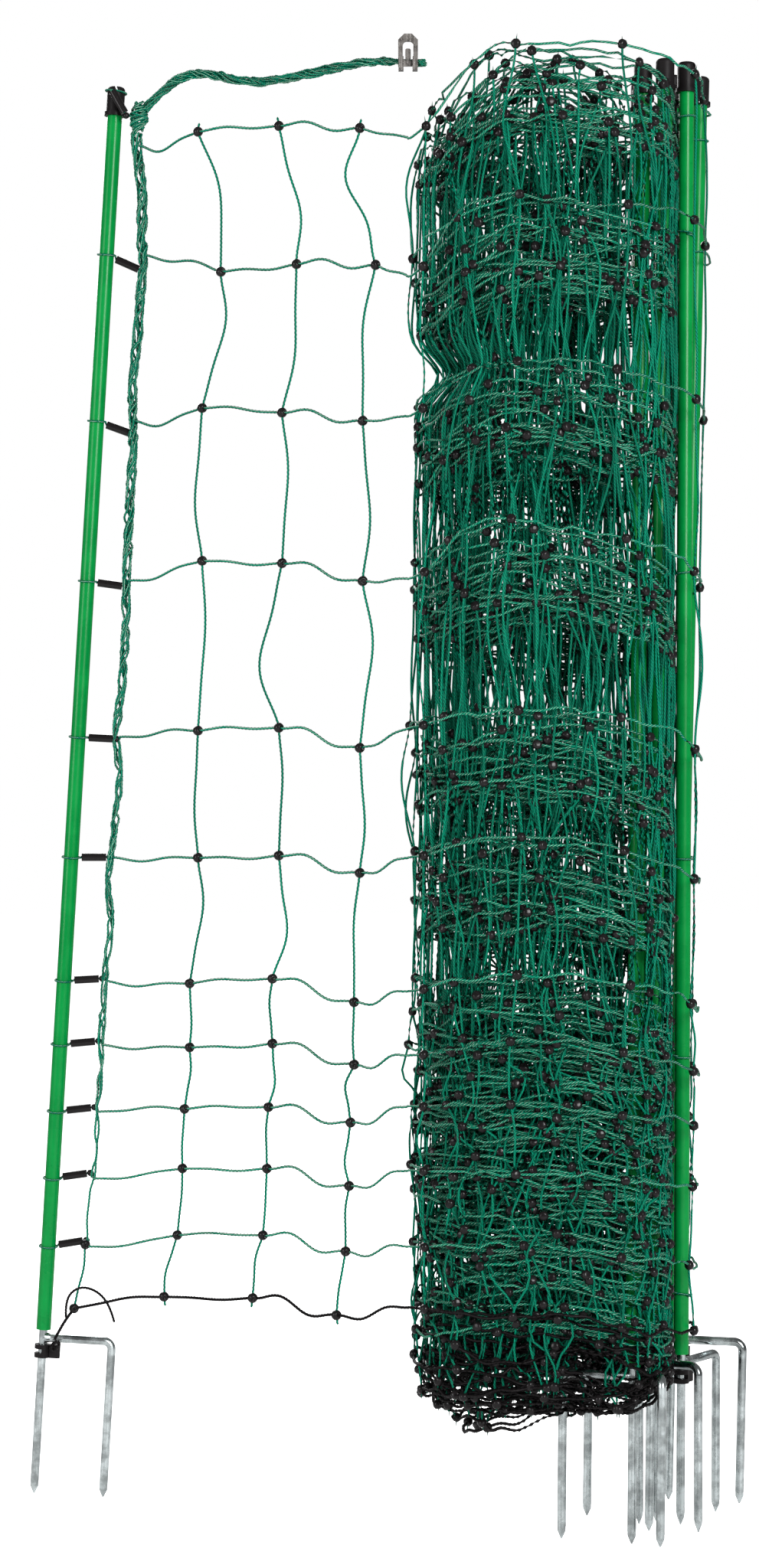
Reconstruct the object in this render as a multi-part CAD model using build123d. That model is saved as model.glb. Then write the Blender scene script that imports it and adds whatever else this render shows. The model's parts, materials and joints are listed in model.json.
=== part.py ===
from build123d import *
import math
import os

# Portable electric net fence, partly unrolled, standing on the tips of its spikes.
# Millimetres, +Z up, -Y is the front. The origin is on the floor, under the middle
# of the object's box. One open panel runs from the end post at the left to the roll.

# ---- posts -----------------------------------------------------------------
post_length = 1347.0
tube_radius = 7.0
tube_wall = 2.0
fork_bar_height = 149.0
tube_gap_over_bar = 4.0
cap_height = 28.0
cap_wall = 1.5
cap_edge_radius = 3.5
cap_collar_width = 1.5
cap_collar_height = 3.7
cap_top_wall = 7.0
cap_slot_width = 2.2
cap_keyhole_radius = 2.1
cap_keyhole_depth = 5.6
spike_radius = 4.0
spike_point = 11.0
spike_point_flat = 0.9
point_relief = 0.2
spike_in_tube = 60.0
fork_spacing = 66.0
fork_bend_radius = 8.0
weld_width = 1.4
weld_length = 5.0
clip_height = 12.5
clip_gap_under_bar = 2.2
clip_finger_height = 4.2
clip_wall = 3.4
clip_tail = 11.0
clip_tail_width = 8.0
clip_tail_corner = 2.0
clip_tail_overlap = 1.5
running_gap = 0.08

# Sizes that follow from those above.
spike_bore_radius = tube_radius - tube_wall
tube_bottom = fork_bar_height + spike_radius + tube_gap_over_bar
cap_radius = tube_radius + cap_wall
cap_collar_radius = cap_radius + cap_collar_width
weld_radius = spike_radius + weld_width

# End post: it leans towards the roll, with its fork in line with the panel.
end_post_foot = (-332.5, 97.0)
end_post_head = (-253.5, 97.0)
end_post_fork_turn = 0.0

# Bundled posts: foot x, y, head x, y, which way the fork points, height above the floor.
bundle_posts = (
    ("bundle_post_1", 275.0, -19.0, 281.0, -15.0, 55.0, 0.0),
    ("bundle_post_2", 268.0, 27.0, 305.0, 97.0, -10.0, 12.0),
    ("bundle_post_3", 254.0, -3.0, 273.0, 37.0, 162.0, 0.0),
    ("bundle_post_4", 224.0, -97.0, 241.0, -15.0, 159.0, 0.0),
    ("bundle_post_5", 237.0, -16.0, 244.0, 62.0, -40.0, 0.0),
    ("bundle_post_6", 244.0, -43.0, 260.0, -31.0, -86.0, 0.0),
)

# ---- net -------------------------------------------------------------------
conductor_radius = 1.1
vertical_radius = 1.0
bottom_cord_radius = 1.5
bead_radius = 4.8
bead_thickness = 7.6
loop_cord_radius = 1.1
loop_gap = 0.3
sleeve_radius = 3.75
sleeve_bore_radius = 1.3
sleeve_length = 23.0
sleeve_gap = 0.7
sleeve_bead_radius = 3.2
sleeve_bead_gap = 0.2
strand_in_bead = 1.8

# Each row of the net from the top: height at the first column, sideways drift of its
# knots, and how much higher it is at the second column, the third and the roll.
net_rows = (
    (1293.0, 0.0, -3.0, -13.0, -27.0),
    (1160.0, 22.0, 1.0, -6.0, -19.0),
    (1034.0, 4.0, -9.0, -21.0, -19.0),
    (891.0, 4.0, -5.0, -24.0, -23.0),
    (732.0, 0.0, 2.0, -17.0, 1.0),
    (613.0, 0.0, 3.0, -12.0, 3.0),
    (495.0, -8.0, 7.0, -12.0, 0.0),
    (435.0, -8.0, 7.0, -9.0, 2.0),
    (377.0, -13.0, 6.0, -4.0, 14.0),
    (321.0, -15.0, 5.0, -6.0, 12.0),
    (258.0, -20.0, 6.0, -3.0, 6.0),
    (199.0, -33.0, 6.0, -3.0, 10.0),
)
column_places = (-172.0, -95.0, -20.0)
column_drift = (1.0, 0.75, 0.65)
panel_start = (-292.0, 97.0)
panel_hinge = (26.0, -74.0)

# The top row's sleeve lies slantwise in front of the end post's cap.
cap_sleeve_start = (-256.0, 82.6, 1341.5)
cap_sleeve_direction = (0.49, 0.0, -0.8717)
# Where each row's tie sits on the end post, and how far its sleeve tips up.
tie_heights = (1188.0, 1029.0, 876.0, 727.0, 612.0, 494.0, 433.0, 369.0, 305.0, 240.0)
tie_slopes = (-24.0, -20.0, -8.0, -3.0, 0.0, 3.0, 5.0, 6.0, 8.0, 9.0)

# Side rope of the net, from the top knot down: x, height and radius.
edge_rope = (
    (-233.0, 1300.0, 5.6),
    (-229.0, 1225.0, 5.2),
    (-227.0, 1178.0, 4.8),
    (-233.0, 1130.0, 4.6),
    (-238.0, 1020.0, 4.2),
    (-243.0, 876.0, 3.8),
    (-251.0, 727.0, 3.4),
    (-257.0, 612.0, 3.0),
    (-264.0, 494.0, 2.8),
    (-271.0, 369.0, 2.4),
    (-276.0, 305.0, 2.1),
    (-282.0, 242.0, 1.8),
)
edge_rope_y = 93.0
knot_centre = (-231.5, 92.0, 1318.0)
knot_size = (8.5, 8.5, 15.0)

# Bottom-left corner: edge knots, the cord down to the clip and its frayed tail.
edge_bead_upper = (-283.0, 93.0, 242.0)
edge_bead_lower = (-293.5, 90.0, 181.5)
clip_cord_route = ((-293.5, 90.0, 181.5), (-303.0, 88.0, 168.0), (-312.0, 86.5, 152.0))
clip_knot_centre = (-311.0, 85.5, 146.5)
clip_knot_radius = 5.2
tail_cord_route = (
    (-300.5, 83.8, 173.0),
    (-301.5, 82.0, 191.0),
    (-289.0, 80.5, 204.0),
    (-272.0, 80.0, 201.0),
    (-258.5, 79.0, 187.0),
    (-254.0, 78.0, 170.0),
)
tail_cord_radius = 1.3

# ---- connection lead -------------------------------------------------------
lead_radius = 4.0
lead_route = (
    (-226.0, 91.0, 1325.0),
    (-207.0, 82.0, 1347.0),
    (-172.0, 66.0, 1358.0),
    (-126.0, 44.0, 1341.0),
    (-84.0, 22.0, 1341.0),
    (-40.0, -4.0, 1346.0),
    (0.0, -28.0, 1347.0),
    (40.0, -51.0, 1338.4),
)
lead_bend_share = 0.45
plate_width = 18.0
plate_height = 30.0
plate_thickness = 1.0
plate_chamfer = 5.5
window_width = 9.6
window_height = 17.0
window_corner = 3.5
window_from_top = 7.5
tongue_width = 5.0
tongue_gap = 0.4
tongue_top_gap = 6.5
tongue_corner = 1.6
crimp_height = 12.0
crimp_width = 4.6
crimp_wall = 0.8
crimp_gap = 0.4
crimp_place = 6.4
plate_centre = (24.0, -49.0, 1351.0)

# ---- roll ------------------------------------------------------------------
roll_y = -13.0
roll_wall = 11.0
# Sections of the roll, each from the bottom up: height, left edge x, right edge x, half depth.
roll_lower_sections = (
    (206.0, 26.0, 224.0, 100.0),
    (500.0, 29.0, 224.0, 102.0),
    (580.0, 29.0, 224.0, 102.0),
)
roll_middle_sections = (
    (580.0, 29.0, 224.0, 102.0),
    (960.0, 30.0, 223.0, 102.0),
)
roll_upper_sections = (
    (960.0, 30.0, 223.0, 102.0),
    (1030.0, 43.0, 222.0, 101.0),
    (1059.0, 62.0, 222.0, 100.0),
    (1090.0, 41.0, 222.0, 102.0),
    (1200.0, 42.0, 221.0, 103.0),
    (1280.0, 52.0, 219.0, 98.0),
    (1318.0, 74.0, 206.0, 82.0),
)
coil_sections = (
    (92.0, 44.0, 208.0, 84.0),
    (130.0, 30.0, 222.0, 98.0),
    (205.0, 26.0, 224.0, 100.0),
)
coil_wall = 12.0
coil_room_x = 128.0
coil_room_y = 52.0
bundle_loop_heights = (212.0, 430.0, 612.0, 876.0, 1188.0, 1296.0)

parts = {}


# ---- helpers ---------------------------------------------------------------
def rod(start, end, radius):
    """A straight round rod between two points."""
    start = Vector(*start)
    end = Vector(*end)
    along = end - start
    return Plane(start, z_dir=along).location * extruded(Circle(radius), along.length)


def extruded(face, height):
    return extrude(face, amount=height, dir=(0, 0, 1))


def tapered_rod(start, end, start_radius, end_radius):
    start = Vector(*start)
    end = Vector(*end)
    along = end - start
    cone = Cone(start_radius, end_radius, along.length, align=(Align.CENTER, Align.CENTER, Align.MIN))
    return Plane(start, z_dir=along).location * cone


def shortened(start, end, gap):
    """The same run with gap taken off both ends."""
    start = Vector(*start)
    end = Vector(*end)
    step = (end - start).normalized() * gap
    return tuple(start + step), tuple(end - step)


def cord_tube(points, radius):
    """A cord's tube: straight runs joined by tangent arcs, with the radius of each arc."""
    corners = [Vector(*p) for p in points]
    radii = []
    for before, corner, after in zip(corners, corners[1:], corners[2:]):
        turn = math.radians((corner - before).get_angle(after - corner))
        shorter = min((corner - before).length, (after - corner).length)
        radii.append(lead_bend_share * shorter / math.tan(turn / 2))
    path = FilletPolyline(*corners, radius=radii)
    start = Plane(path @ 0, z_dir=path % 0)
    tube = sweep(start * Circle(radius), path=path)
    section = math.pi * radius**2
    print("cord radii", [round(r, 1) for r in radii], "length", round(path.length, 1))
    print("cord volume", round(tube.volume), "section x length", round(section * path.length))
    return tube


def post_axis(foot, head, height_above_floor, fork_turn):
    """The placement of a post: its tip, its lean, and its fork's direction."""
    lean = Vector(head[0] - foot[0], head[1] - foot[1], 0)
    rise = math.sqrt(post_length**2 - lean.length**2)
    axis = Vector(lean.X, lean.Y, rise).normalized()
    turn = math.radians(fork_turn)
    flat = Vector(math.cos(turn), math.sin(turn), 0)
    across = (flat - axis * flat.dot(axis)).normalized()
    lowest = min(0.0, fork_spacing * across.Z)
    origin = Vector(foot[0], foot[1], height_above_floor - lowest)
    return Plane(origin, x_dir=across, z_dir=axis)


# ---- one post, upright with its tip at the origin ---------------------------
def rod_point():
    """The four-sided point of a round rod, with its tip at the origin."""
    wide = 2 * spike_radius
    point = loft([
        Rectangle(spike_point_flat, spike_point_flat),
        Pos(0, 0, spike_point) * Rectangle(wide, wide),
    ])
    return Rot(0, 0, 45) * point & extruded(Circle(spike_radius - point_relief), spike_point)


def pointed_rod(top):
    """A straight round rod with a point at the bottom."""
    return rod_point() + Pos(0, 0, spike_point) * extruded(Circle(spike_radius), top - spike_point)


def make_tube():
    height = post_length - cap_top_wall - tube_bottom
    ring = Circle(tube_radius) - Circle(spike_bore_radius)
    return Pos(0, 0, tube_bottom) * extruded(ring, height)


def make_cap():
    bottom = post_length - cap_height
    body = extruded(Circle(cap_radius), cap_height)
    body = fillet(body.edges().group_by(Axis.Z)[-1], cap_edge_radius)
    body += extruded(Circle(cap_collar_radius), cap_collar_height)
    body -= extruded(Circle(tube_radius), cap_height - cap_top_wall)
    keyhole_height = cap_height - cap_keyhole_depth + cap_keyhole_radius
    across = 2 * cap_collar_radius
    body -= Pos(0, 0, keyhole_height) * Rot(90, 0, 0) * Cylinder(cap_keyhole_radius, across)
    body -= Pos(0, 0, keyhole_height) * Box(
        cap_slot_width, across, cap_height, align=(Align.CENTER, Align.CENTER, Align.MIN)
    )
    return Pos(0, 0, bottom) * body


def make_bush():
    ring = Circle(spike_bore_radius) - Circle(spike_radius)
    return Pos(0, 0, tube_bottom) * extruded(ring, spike_in_tube)


def make_side_prong():
    """The second prong: a bent rod welded to the side of the spike."""
    bent = FilletPolyline(
        (0, 0, fork_bar_height),
        (fork_spacing, 0, fork_bar_height),
        (fork_spacing, 0, spike_point),
        radius=fork_bend_radius,
    )
    bar = sweep(Plane(bent @ 0, z_dir=bent % 0) * Circle(spike_radius), path=bent)
    weld = Cone(weld_radius, spike_radius, weld_length, align=(Align.CENTER, Align.CENTER, Align.MIN))
    weld = Pos(spike_radius / 2, 0, fork_bar_height) * Rot(0, 90, 0) * weld
    return bar + weld + Pos(fork_spacing, 0, 0) * rod_point()


def make_clip():
    """The plastic clip that snaps round the spike and holds the bottom cord."""
    inner = spike_radius + running_gap
    outer = inner + clip_wall
    top = fork_bar_height - spike_radius - clip_gap_under_bar
    tail = RectangleRounded(clip_tail, clip_tail_width, clip_tail_corner)
    tail = Pos(outer + clip_tail / 2 - clip_tail_overlap, 0, 0) * tail
    block = extruded(Circle(outer) + tail, clip_height)
    waist_height = clip_height - 2 * clip_finger_height
    waist = Pos(-outer, 0, clip_finger_height) * Box(
        2 * outer, 4 * outer, waist_height, align=(Align.CENTER, Align.CENTER, Align.MIN)
    )
    return Pos(0, 0, top - clip_height) * (block - waist - extruded(Circle(inner), clip_height))


def make_loop(height):
    middle = tube_radius + loop_gap + loop_cord_radius
    return Pos(0, 0, height) * Torus(middle, loop_cord_radius)


def add_post(name, place):
    pieces = {
        "tube": make_tube(),
        "cap": make_cap(),
        "bush": make_bush(),
        "spike": pointed_rod(tube_bottom + spike_in_tube),
        "side_prong": make_side_prong(),
    }
    for piece, shape in pieces.items():
        parts[f"{name}_{piece}"] = place.location * shape


# ---- net panel -------------------------------------------------------------
def panel_depth(x):
    """The flat open panel runs in a straight line from the end post to the roll."""
    slope = (panel_hinge[1] - panel_start[1]) / (panel_hinge[0] - panel_start[0])
    return panel_start[1] + slope * (x - panel_start[0])


def knot_place(row, column):
    height, drift, *rises = net_rows[row]
    x = column_places[column] + drift * column_drift[column]
    rise = 0.0 if column == 0 else rises[column - 1]
    return (x, panel_depth(x), height + rise)


def roll_end(row):
    height, _, _, _, rise = net_rows[row]
    return (panel_hinge[0], panel_hinge[1], height + rise)


def rope_place(height):
    """A point on the side rope at this height."""
    for above, below in zip(edge_rope, edge_rope[1:]):
        if below[1] <= height:
            break
    height = max(height, below[1])
    share = (height - below[1]) / (above[1] - below[1])
    return (below[0] + share * (above[0] - below[0]), edge_rope_y, height)


def make_bead(place):
    ball = Sphere(bead_radius) & Box(2 * bead_radius, bead_thickness, 2 * bead_radius)
    return Pos(*place) * ball


def row_start(row):
    if row == 0:
        return rope_place(edge_rope[0][1] - 8.0)
    return rope_place(tie_heights[row - 1])


def row_runs(row, start):
    points = [start] + [knot_place(row, c) for c in range(len(column_places))] + [roll_end(row)]
    return [shortened(a, b, bead_radius - strand_in_bead) for a, b in zip(points, points[1:])]


def make_conductors():
    runs = []
    for row in range(len(net_rows) - 1):
        runs += row_runs(row, row_start(row))
    return Compound([rod(a, b, conductor_radius) for a, b in runs])


def make_verticals():
    runs = []
    for column in range(len(column_places)):
        for row in range(len(net_rows) - 1):
            start = knot_place(row, column)
            end = knot_place(row + 1, column)
            runs.append(shortened(start, end, bead_radius - strand_in_bead))
    runs.append(shortened(edge_bead_upper, edge_bead_lower, bead_radius - strand_in_bead))
    return Compound([rod(a, b, vertical_radius) for a, b in runs])


def make_bottom_cord():
    runs = row_runs(len(net_rows) - 1, edge_bead_lower)
    return Compound([rod(a, b, bottom_cord_radius) for a, b in runs])


def make_beads():
    places = [knot_place(r, c) for r in range(len(net_rows)) for c in range(len(column_places))]
    places += [edge_bead_upper, edge_bead_lower]
    return Compound([make_bead(p) for p in places])


def make_edge_rope():
    rope = None
    for low, high in zip(edge_rope[1:], edge_rope):
        run = tapered_rod((low[0], edge_rope_y, low[1]), (high[0], edge_rope_y, high[1]), low[2], high[2])
        ball = Pos(low[0], edge_rope_y, low[1]) * Sphere(low[2])
        rope = run + ball if rope is None else rope + run + ball
    return rope


def make_clip_cord():
    cord = None
    for start, end in zip(clip_cord_route, clip_cord_route[1:]):
        run = rod(start, end, bottom_cord_radius) + Pos(*end) * Sphere(bottom_cord_radius)
        cord = run if cord is None else cord + run
    return cord


def end_post_point(place, height):
    """The point of the end post's axis at this height above the floor."""
    axis = place.z_dir
    return place.origin + axis * ((height - place.origin.Z) / axis.Z)


def make_ties(place):
    """Loops round the end post, the sleeves beside them and their small inner beads."""
    loops = []
    sleeves = []
    beads = []
    for height, slope in zip(tie_heights, tie_slopes):
        centre = end_post_point(place, height)
        along = (centre - place.origin).length
        loops.append(place.location * make_loop(along))
        turn = math.radians(slope)
        direction = Vector(math.cos(turn), 0, math.sin(turn))
        start = centre + direction * (tube_radius + loop_gap + 2 * loop_cord_radius + sleeve_gap)
        end = start + direction * sleeve_length
        ring = Circle(sleeve_radius) - Circle(sleeve_bore_radius)
        sleeves.append(Plane(start, z_dir=direction).location * extruded(ring, sleeve_length))
        bead_centre = end + direction * (sleeve_bead_radius + sleeve_bead_gap)
        beads.append(Pos(*bead_centre) * Sphere(sleeve_bead_radius))
    cap_sleeve = extruded(Circle(sleeve_radius) - Circle(sleeve_bore_radius), sleeve_length)
    sleeves.append(Plane(cap_sleeve_start, z_dir=cap_sleeve_direction).location * cap_sleeve)
    bead_centre = Vector(*cap_sleeve_start) + Vector(*cap_sleeve_direction) * (
        sleeve_length + sleeve_bead_radius + sleeve_bead_gap
    )
    beads.append(Pos(*bead_centre) * Sphere(sleeve_bead_radius))
    return loops, sleeves, beads


# ---- connection lead's connector --------------------------------------------
def make_plate():
    plate = Rectangle(plate_width, plate_height)
    top_corners = plate.vertices().group_by(Axis.Y)[-1]
    plate = chamfer(top_corners, plate_chamfer)
    window_middle = plate_height / 2 - window_from_top - window_height / 2
    plate -= Pos(0, window_middle) * RectangleRounded(window_width, window_height, window_corner)
    return Rot(90, 0, 0) * extrude(plate, plate_thickness / 2, both=True)


def make_tongue():
    """The spring tongue that stands in the window from its bottom edge."""
    bottom = plate_height / 2 - window_from_top - window_height + tongue_gap
    length = window_height - tongue_top_gap
    tongue = Pos(0, bottom + length / 2) * RectangleRounded(tongue_width, length, tongue_corner)
    return Rot(90, 0, 0) * extrude(tongue, plate_thickness / 2, both=True)


def make_crimps():
    """Two folded bands that grip the strands below the plate."""
    inside = 2 * lead_radius + crimp_gap
    inner = Rectangle(inside, crimp_height - 2 * crimp_wall)
    ring = Rectangle(inside + 2 * crimp_wall, crimp_height) - inner
    band = extrude(ring, crimp_width / 2, both=True)
    band = Rot(0, 90, 0) * Rot(0, 0, 90) * band
    return Compound([Pos(side * crimp_place, 0, 0) * band for side in (-1, 1)])


# ---- roll --------------------------------------------------------------------
def roll_block(sections, inset):
    """The outer shape of the roll, or of its hollow when inset by the wall."""
    outlines = []
    for height, left, right, half_depth in sections:
        middle = (left + right) / 2
        outline = Ellipse((right - left) / 2 - inset, half_depth - inset)
        outlines.append(Pos(middle, roll_y, height) * outline)
    return loft(outlines, ruled=True)


def make_roll(sections):
    return roll_block(sections, 0.0) - roll_block(sections, roll_wall)


def make_bottom_coil():
    """The drooping turns of the bottom cord, with room for the forks at the right."""
    coil = roll_block(coil_sections, 0.0) - roll_block(coil_sections, coil_wall)
    room = Pos(coil_room_x, coil_room_y, 0) * Box(
        400, 400, 400, align=(Align.MIN, Align.MAX, Align.MIN)
    )
    return coil - room


# ---- the whole object --------------------------------------------------------
end_place = post_axis(end_post_foot, end_post_head, 0.0, end_post_fork_turn)
add_post("end_post", end_place)
loops, sleeves, tie_beads = make_ties(end_place)
parts["end_post_clip"] = end_place.location * make_clip()
parts["end_post_loops"] = Compound(loops)
parts["end_post_sleeves"] = Compound(sleeves)
parts["sleeve_beads"] = Compound(tie_beads)

bundle_clips = []
bundle_loops = []
for name, foot_x, foot_y, head_x, head_y, fork_turn, lift in bundle_posts:
    place = post_axis((foot_x, foot_y), (head_x, head_y), lift, fork_turn)
    add_post(name, place)
    bundle_clips.append(place.location * make_clip())
    bundle_loops += [place.location * make_loop(h) for h in bundle_loop_heights]
    print(name, "tip", place.origin, "axis", place.z_dir)
print("end post tip", end_place.origin, "axis", end_place.z_dir)
parts["bundle_clips"] = Compound(bundle_clips)
parts["bundle_loops"] = Compound(bundle_loops)

parts["net_roll_lower"] = make_roll(roll_lower_sections)
parts["net_roll_middle"] = make_roll(roll_middle_sections)
parts["net_roll_upper"] = make_roll(roll_upper_sections)
parts["bottom_cord_coil"] = make_bottom_coil()

parts["side_rope"] = make_edge_rope()
parts["side_rope_knot"] = Pos(*knot_centre) * scale(Sphere(1.0), by=knot_size)
parts["panel_conductors"] = make_conductors()
parts["panel_verticals"] = make_verticals()
parts["panel_bottom_cord"] = make_bottom_cord()
parts["panel_beads"] = make_beads()
parts["clip_cord"] = make_clip_cord()
parts["clip_knot"] = Pos(*clip_knot_centre) * Sphere(clip_knot_radius)
parts["tail_cord"] = cord_tube(tail_cord_route, tail_cord_radius)

parts["connection_lead"] = cord_tube(lead_route, lead_radius)
parts["connector_plate"] = Pos(*plate_centre) * make_plate()
parts["connector_tongue"] = Pos(*plate_centre) * make_tongue()
parts["connector_crimps"] = Pos(plate_centre[0], plate_centre[1], lead_route[-1][2]) * make_crimps()

os.makedirs("parts", exist_ok=True)
for node, shape in parts.items():
    export_step(shape, f"parts/{node}.step")
print(len(parts), "nodes")
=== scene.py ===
import json
import math

import bmesh
import bpy
import numpy as np
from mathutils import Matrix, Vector


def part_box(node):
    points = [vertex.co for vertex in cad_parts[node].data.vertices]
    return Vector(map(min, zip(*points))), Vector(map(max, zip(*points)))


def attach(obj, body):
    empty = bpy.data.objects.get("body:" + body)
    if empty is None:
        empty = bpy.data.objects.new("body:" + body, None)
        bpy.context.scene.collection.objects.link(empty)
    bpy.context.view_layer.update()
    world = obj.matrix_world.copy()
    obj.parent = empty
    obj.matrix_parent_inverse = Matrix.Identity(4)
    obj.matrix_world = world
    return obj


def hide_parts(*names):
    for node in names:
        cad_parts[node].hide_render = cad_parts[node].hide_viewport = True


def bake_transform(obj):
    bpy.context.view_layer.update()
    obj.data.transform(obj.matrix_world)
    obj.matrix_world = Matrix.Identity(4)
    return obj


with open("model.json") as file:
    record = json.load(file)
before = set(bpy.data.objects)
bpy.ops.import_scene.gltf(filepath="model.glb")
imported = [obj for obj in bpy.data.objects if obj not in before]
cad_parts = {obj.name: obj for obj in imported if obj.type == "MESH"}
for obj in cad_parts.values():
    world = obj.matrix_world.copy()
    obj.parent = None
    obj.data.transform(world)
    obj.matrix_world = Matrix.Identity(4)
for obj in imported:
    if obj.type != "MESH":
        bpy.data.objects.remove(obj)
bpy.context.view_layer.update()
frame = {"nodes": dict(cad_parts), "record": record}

bl_info = {
    "name": "Rolled fence net",
    "version": (1, 0, 0),
    "blender": (4, 5, 0),
    "location": "View3D > Sidebar > Fence",
    "description": "Builds a partly unrolled electric net fence around its posts",
    "category": "Object",
}

MM = 0.001
TAU = 2 * math.pi

# ---- stage (metres and watts) ----------------------------------------------------
FLOOR_RADIUS = 14.0
FLOOR_TONES = ((0.88, 0.88, 0.88, 1.0), (0.92, 0.92, 0.92, 1.0))
WHITE = (1.0, 1.0, 1.0, 1.0)
CAMERA_PLACE = (-0.002, -3.003, 0.682)
LENS = 74.4
SENSOR = 36.0
LIGHT_AIM = (0.0, 0.0, 0.7)
LIGHTS = (
    ("key_light", (1.5, -2.9, 1.6), 1.3, 105.0),
    ("fill_light", (-2.6, -1.9, 1.2), 1.4, 42.0),
    ("back_light", (-0.9, 2.6, 2.2), 1.6, 60.0),
)

# ---- finishes ------------------------------------------------------------------
STRAND_SHEEN = 0.09
PLASTIC_SHEEN = 0.12
DARK_STEEL = (0.17, 0.158, 0.148, 1.0)
BRIGHT_STEEL = (0.30, 0.285, 0.27, 1.0)
WIRE_LEAD = 0.9        # how far round a strand its wire lies from a ply's crown, in radians
WIRE_PATCHES = 260.0   # how often a wire comes to the surface, per metre
SCRATCH_STRETCH = 0.02
SEAM_GAP = 2e-6        # points closer than this are one point, in metres

# ---- the open panel, as the posts and ties were designed (millimetres) ---------
# Each row from the top: height at the first column, sideways drift of its knots,
# and how much higher it is at the second column, the third and the roll.
NET_ROWS = (
    (1293.0, 0.0, -3.0, -13.0, -27.0),
    (1160.0, 22.0, 1.0, -6.0, -19.0),
    (1034.0, 4.0, -9.0, -21.0, -19.0),
    (891.0, 4.0, -5.0, -24.0, -23.0),
    (732.0, 0.0, 2.0, -17.0, 1.0),
    (613.0, 0.0, 3.0, -12.0, 3.0),
    (495.0, -8.0, 7.0, -12.0, 0.0),
    (435.0, -8.0, 7.0, -9.0, 2.0),
    (377.0, -13.0, 6.0, -4.0, 14.0),
    (321.0, -15.0, 5.0, -6.0, 12.0),
    (258.0, -20.0, 6.0, -3.0, 6.0),
    (199.0, -33.0, 6.0, -3.0, 10.0),
)
ROWS = len(NET_ROWS)
BOTTOM_ROW = ROWS - 1
COLUMN_PLACES = (-172.0, -95.0, -20.0)
COLUMN_DRIFT = (1.0, 0.75, 0.65)
PANEL_START = (-292.0, 97.0)
PANEL_HINGE = (26.0, -74.0)
# How far each upright bows sideways between one row and the next, column by column.
UPRIGHT_BOWS = (
    (11.0, 10.0, -6.0, 4.0, -3.0, 7.0, 1.5, 2.5, -1.0, 1.0, -3.0),
    (8.0, 6.0, 5.0, -17.0, 3.0, 10.0, -2.5, 4.0, -1.5, 0.5, -3.0),
    (-13.0, -6.0, 6.0, 9.0, 4.0, -3.0, -1.0, -6.0, -4.0, -2.0, -1.0),
)
# How far the top of each upright's bow swings the other way in the first span.
TOP_SWINGS = (2.0, -4.0, -9.3)
# How far each row sags or lifts in its first span, from the side rope to column one.
FIRST_SPAN_BOWS = (-9.0, 2.0, -8.0, -3.0, 1.0, -2.0, -3.0, -2.0, 2.0, -2.0, -3.0, 3.0)
TIE_HEIGHTS = (1188.0, 1029.0, 876.0, 727.0, 612.0, 494.0, 433.0, 369.0, 305.0, 240.0)
TIE_SLOPES = (-24.0, -20.0, -8.0, -3.0, 0.0, 3.0, 5.0, 6.0, 8.0, 9.0)
EDGE_ROPE = (
    (-233.0, 1300.0), (-229.0, 1225.0), (-227.0, 1178.0), (-233.0, 1130.0),
    (-238.0, 1020.0), (-243.0, 876.0), (-251.0, 727.0), (-257.0, 612.0),
    (-264.0, 494.0), (-271.0, 369.0), (-276.0, 305.0), (-282.0, 242.0),
)
EDGE_ROPE_Y = 93.0
KNOT_CENTRE = (-231.5, 92.0, 1318.0)
EDGE_BEAD_UPPER = (-283.0, 93.0, 242.0)
EDGE_BEAD_LOWER = (-293.5, 90.0, 181.5)
CLIP_CORD_ROUTE = ((-293.5, 90.0, 181.5), (-303.0, 88.0, 168.0), (-312.0, 86.5, 152.0))
CLIP_KNOT_CENTRE = (-311.0, 85.5, 146.5)
END_POST_TIP = (-332.5, 97.0, 3.87)
END_POST_AXIS = (0.058649, 0.0, 0.998279)
CAP_SLEEVE_START = (-256.0, 82.6, 1341.5)
CAP_SLEEVE_DIRECTION = (0.49, 0.0, -0.8717)
SLEEVE_START = 10.2
SLEEVE_LENGTH = 23.0
TOP_TIE = 1292.0
ROPE_TOP = 1306.0
LOOP_REACH = 8.4
CAP_LOOP_REACH = 9.8
LOOP_CORD_RADIUS = 0.95
STOP_BEAD_GAP = 3.4
STOP_BEAD_RADIUS = 3.3
BUNDLE_TIE_HEIGHTS = (212.0, 430.0, 612.0, 876.0, 1188.0, 1296.0)
# The black cord's three plies: how far each lies from its middle, its radius and its twist.
PLY_REACH = 0.72
PLY_RADIUS = 0.86
PLY_LAY = 9.5
# The same for the thinner tail, and for the lead's outer and inner strands.
TAIL_REACH, TAIL_RADIUS, TAIL_LAY = 0.62, 0.72, 9.0
LEAD_STRANDS, LEAD_REACH, LEAD_LAY = 8, 3.15, 64.0
LEAD_CORE_STRANDS, LEAD_CORE_REACH, LEAD_CORE_LAY = 3, 1.2, 45.0
LEAD_GRIP, LEAD_GRIP_PLACE, LEAD_GRIP_SPREAD = 0.35, 0.93, 0.05
PANEL_STEP = 1.25      # distance between a panel strand's points
BLACK_STEP = 1.2
ROPE_STEP = 1.6
LOOP_STEP = 2.5

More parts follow.
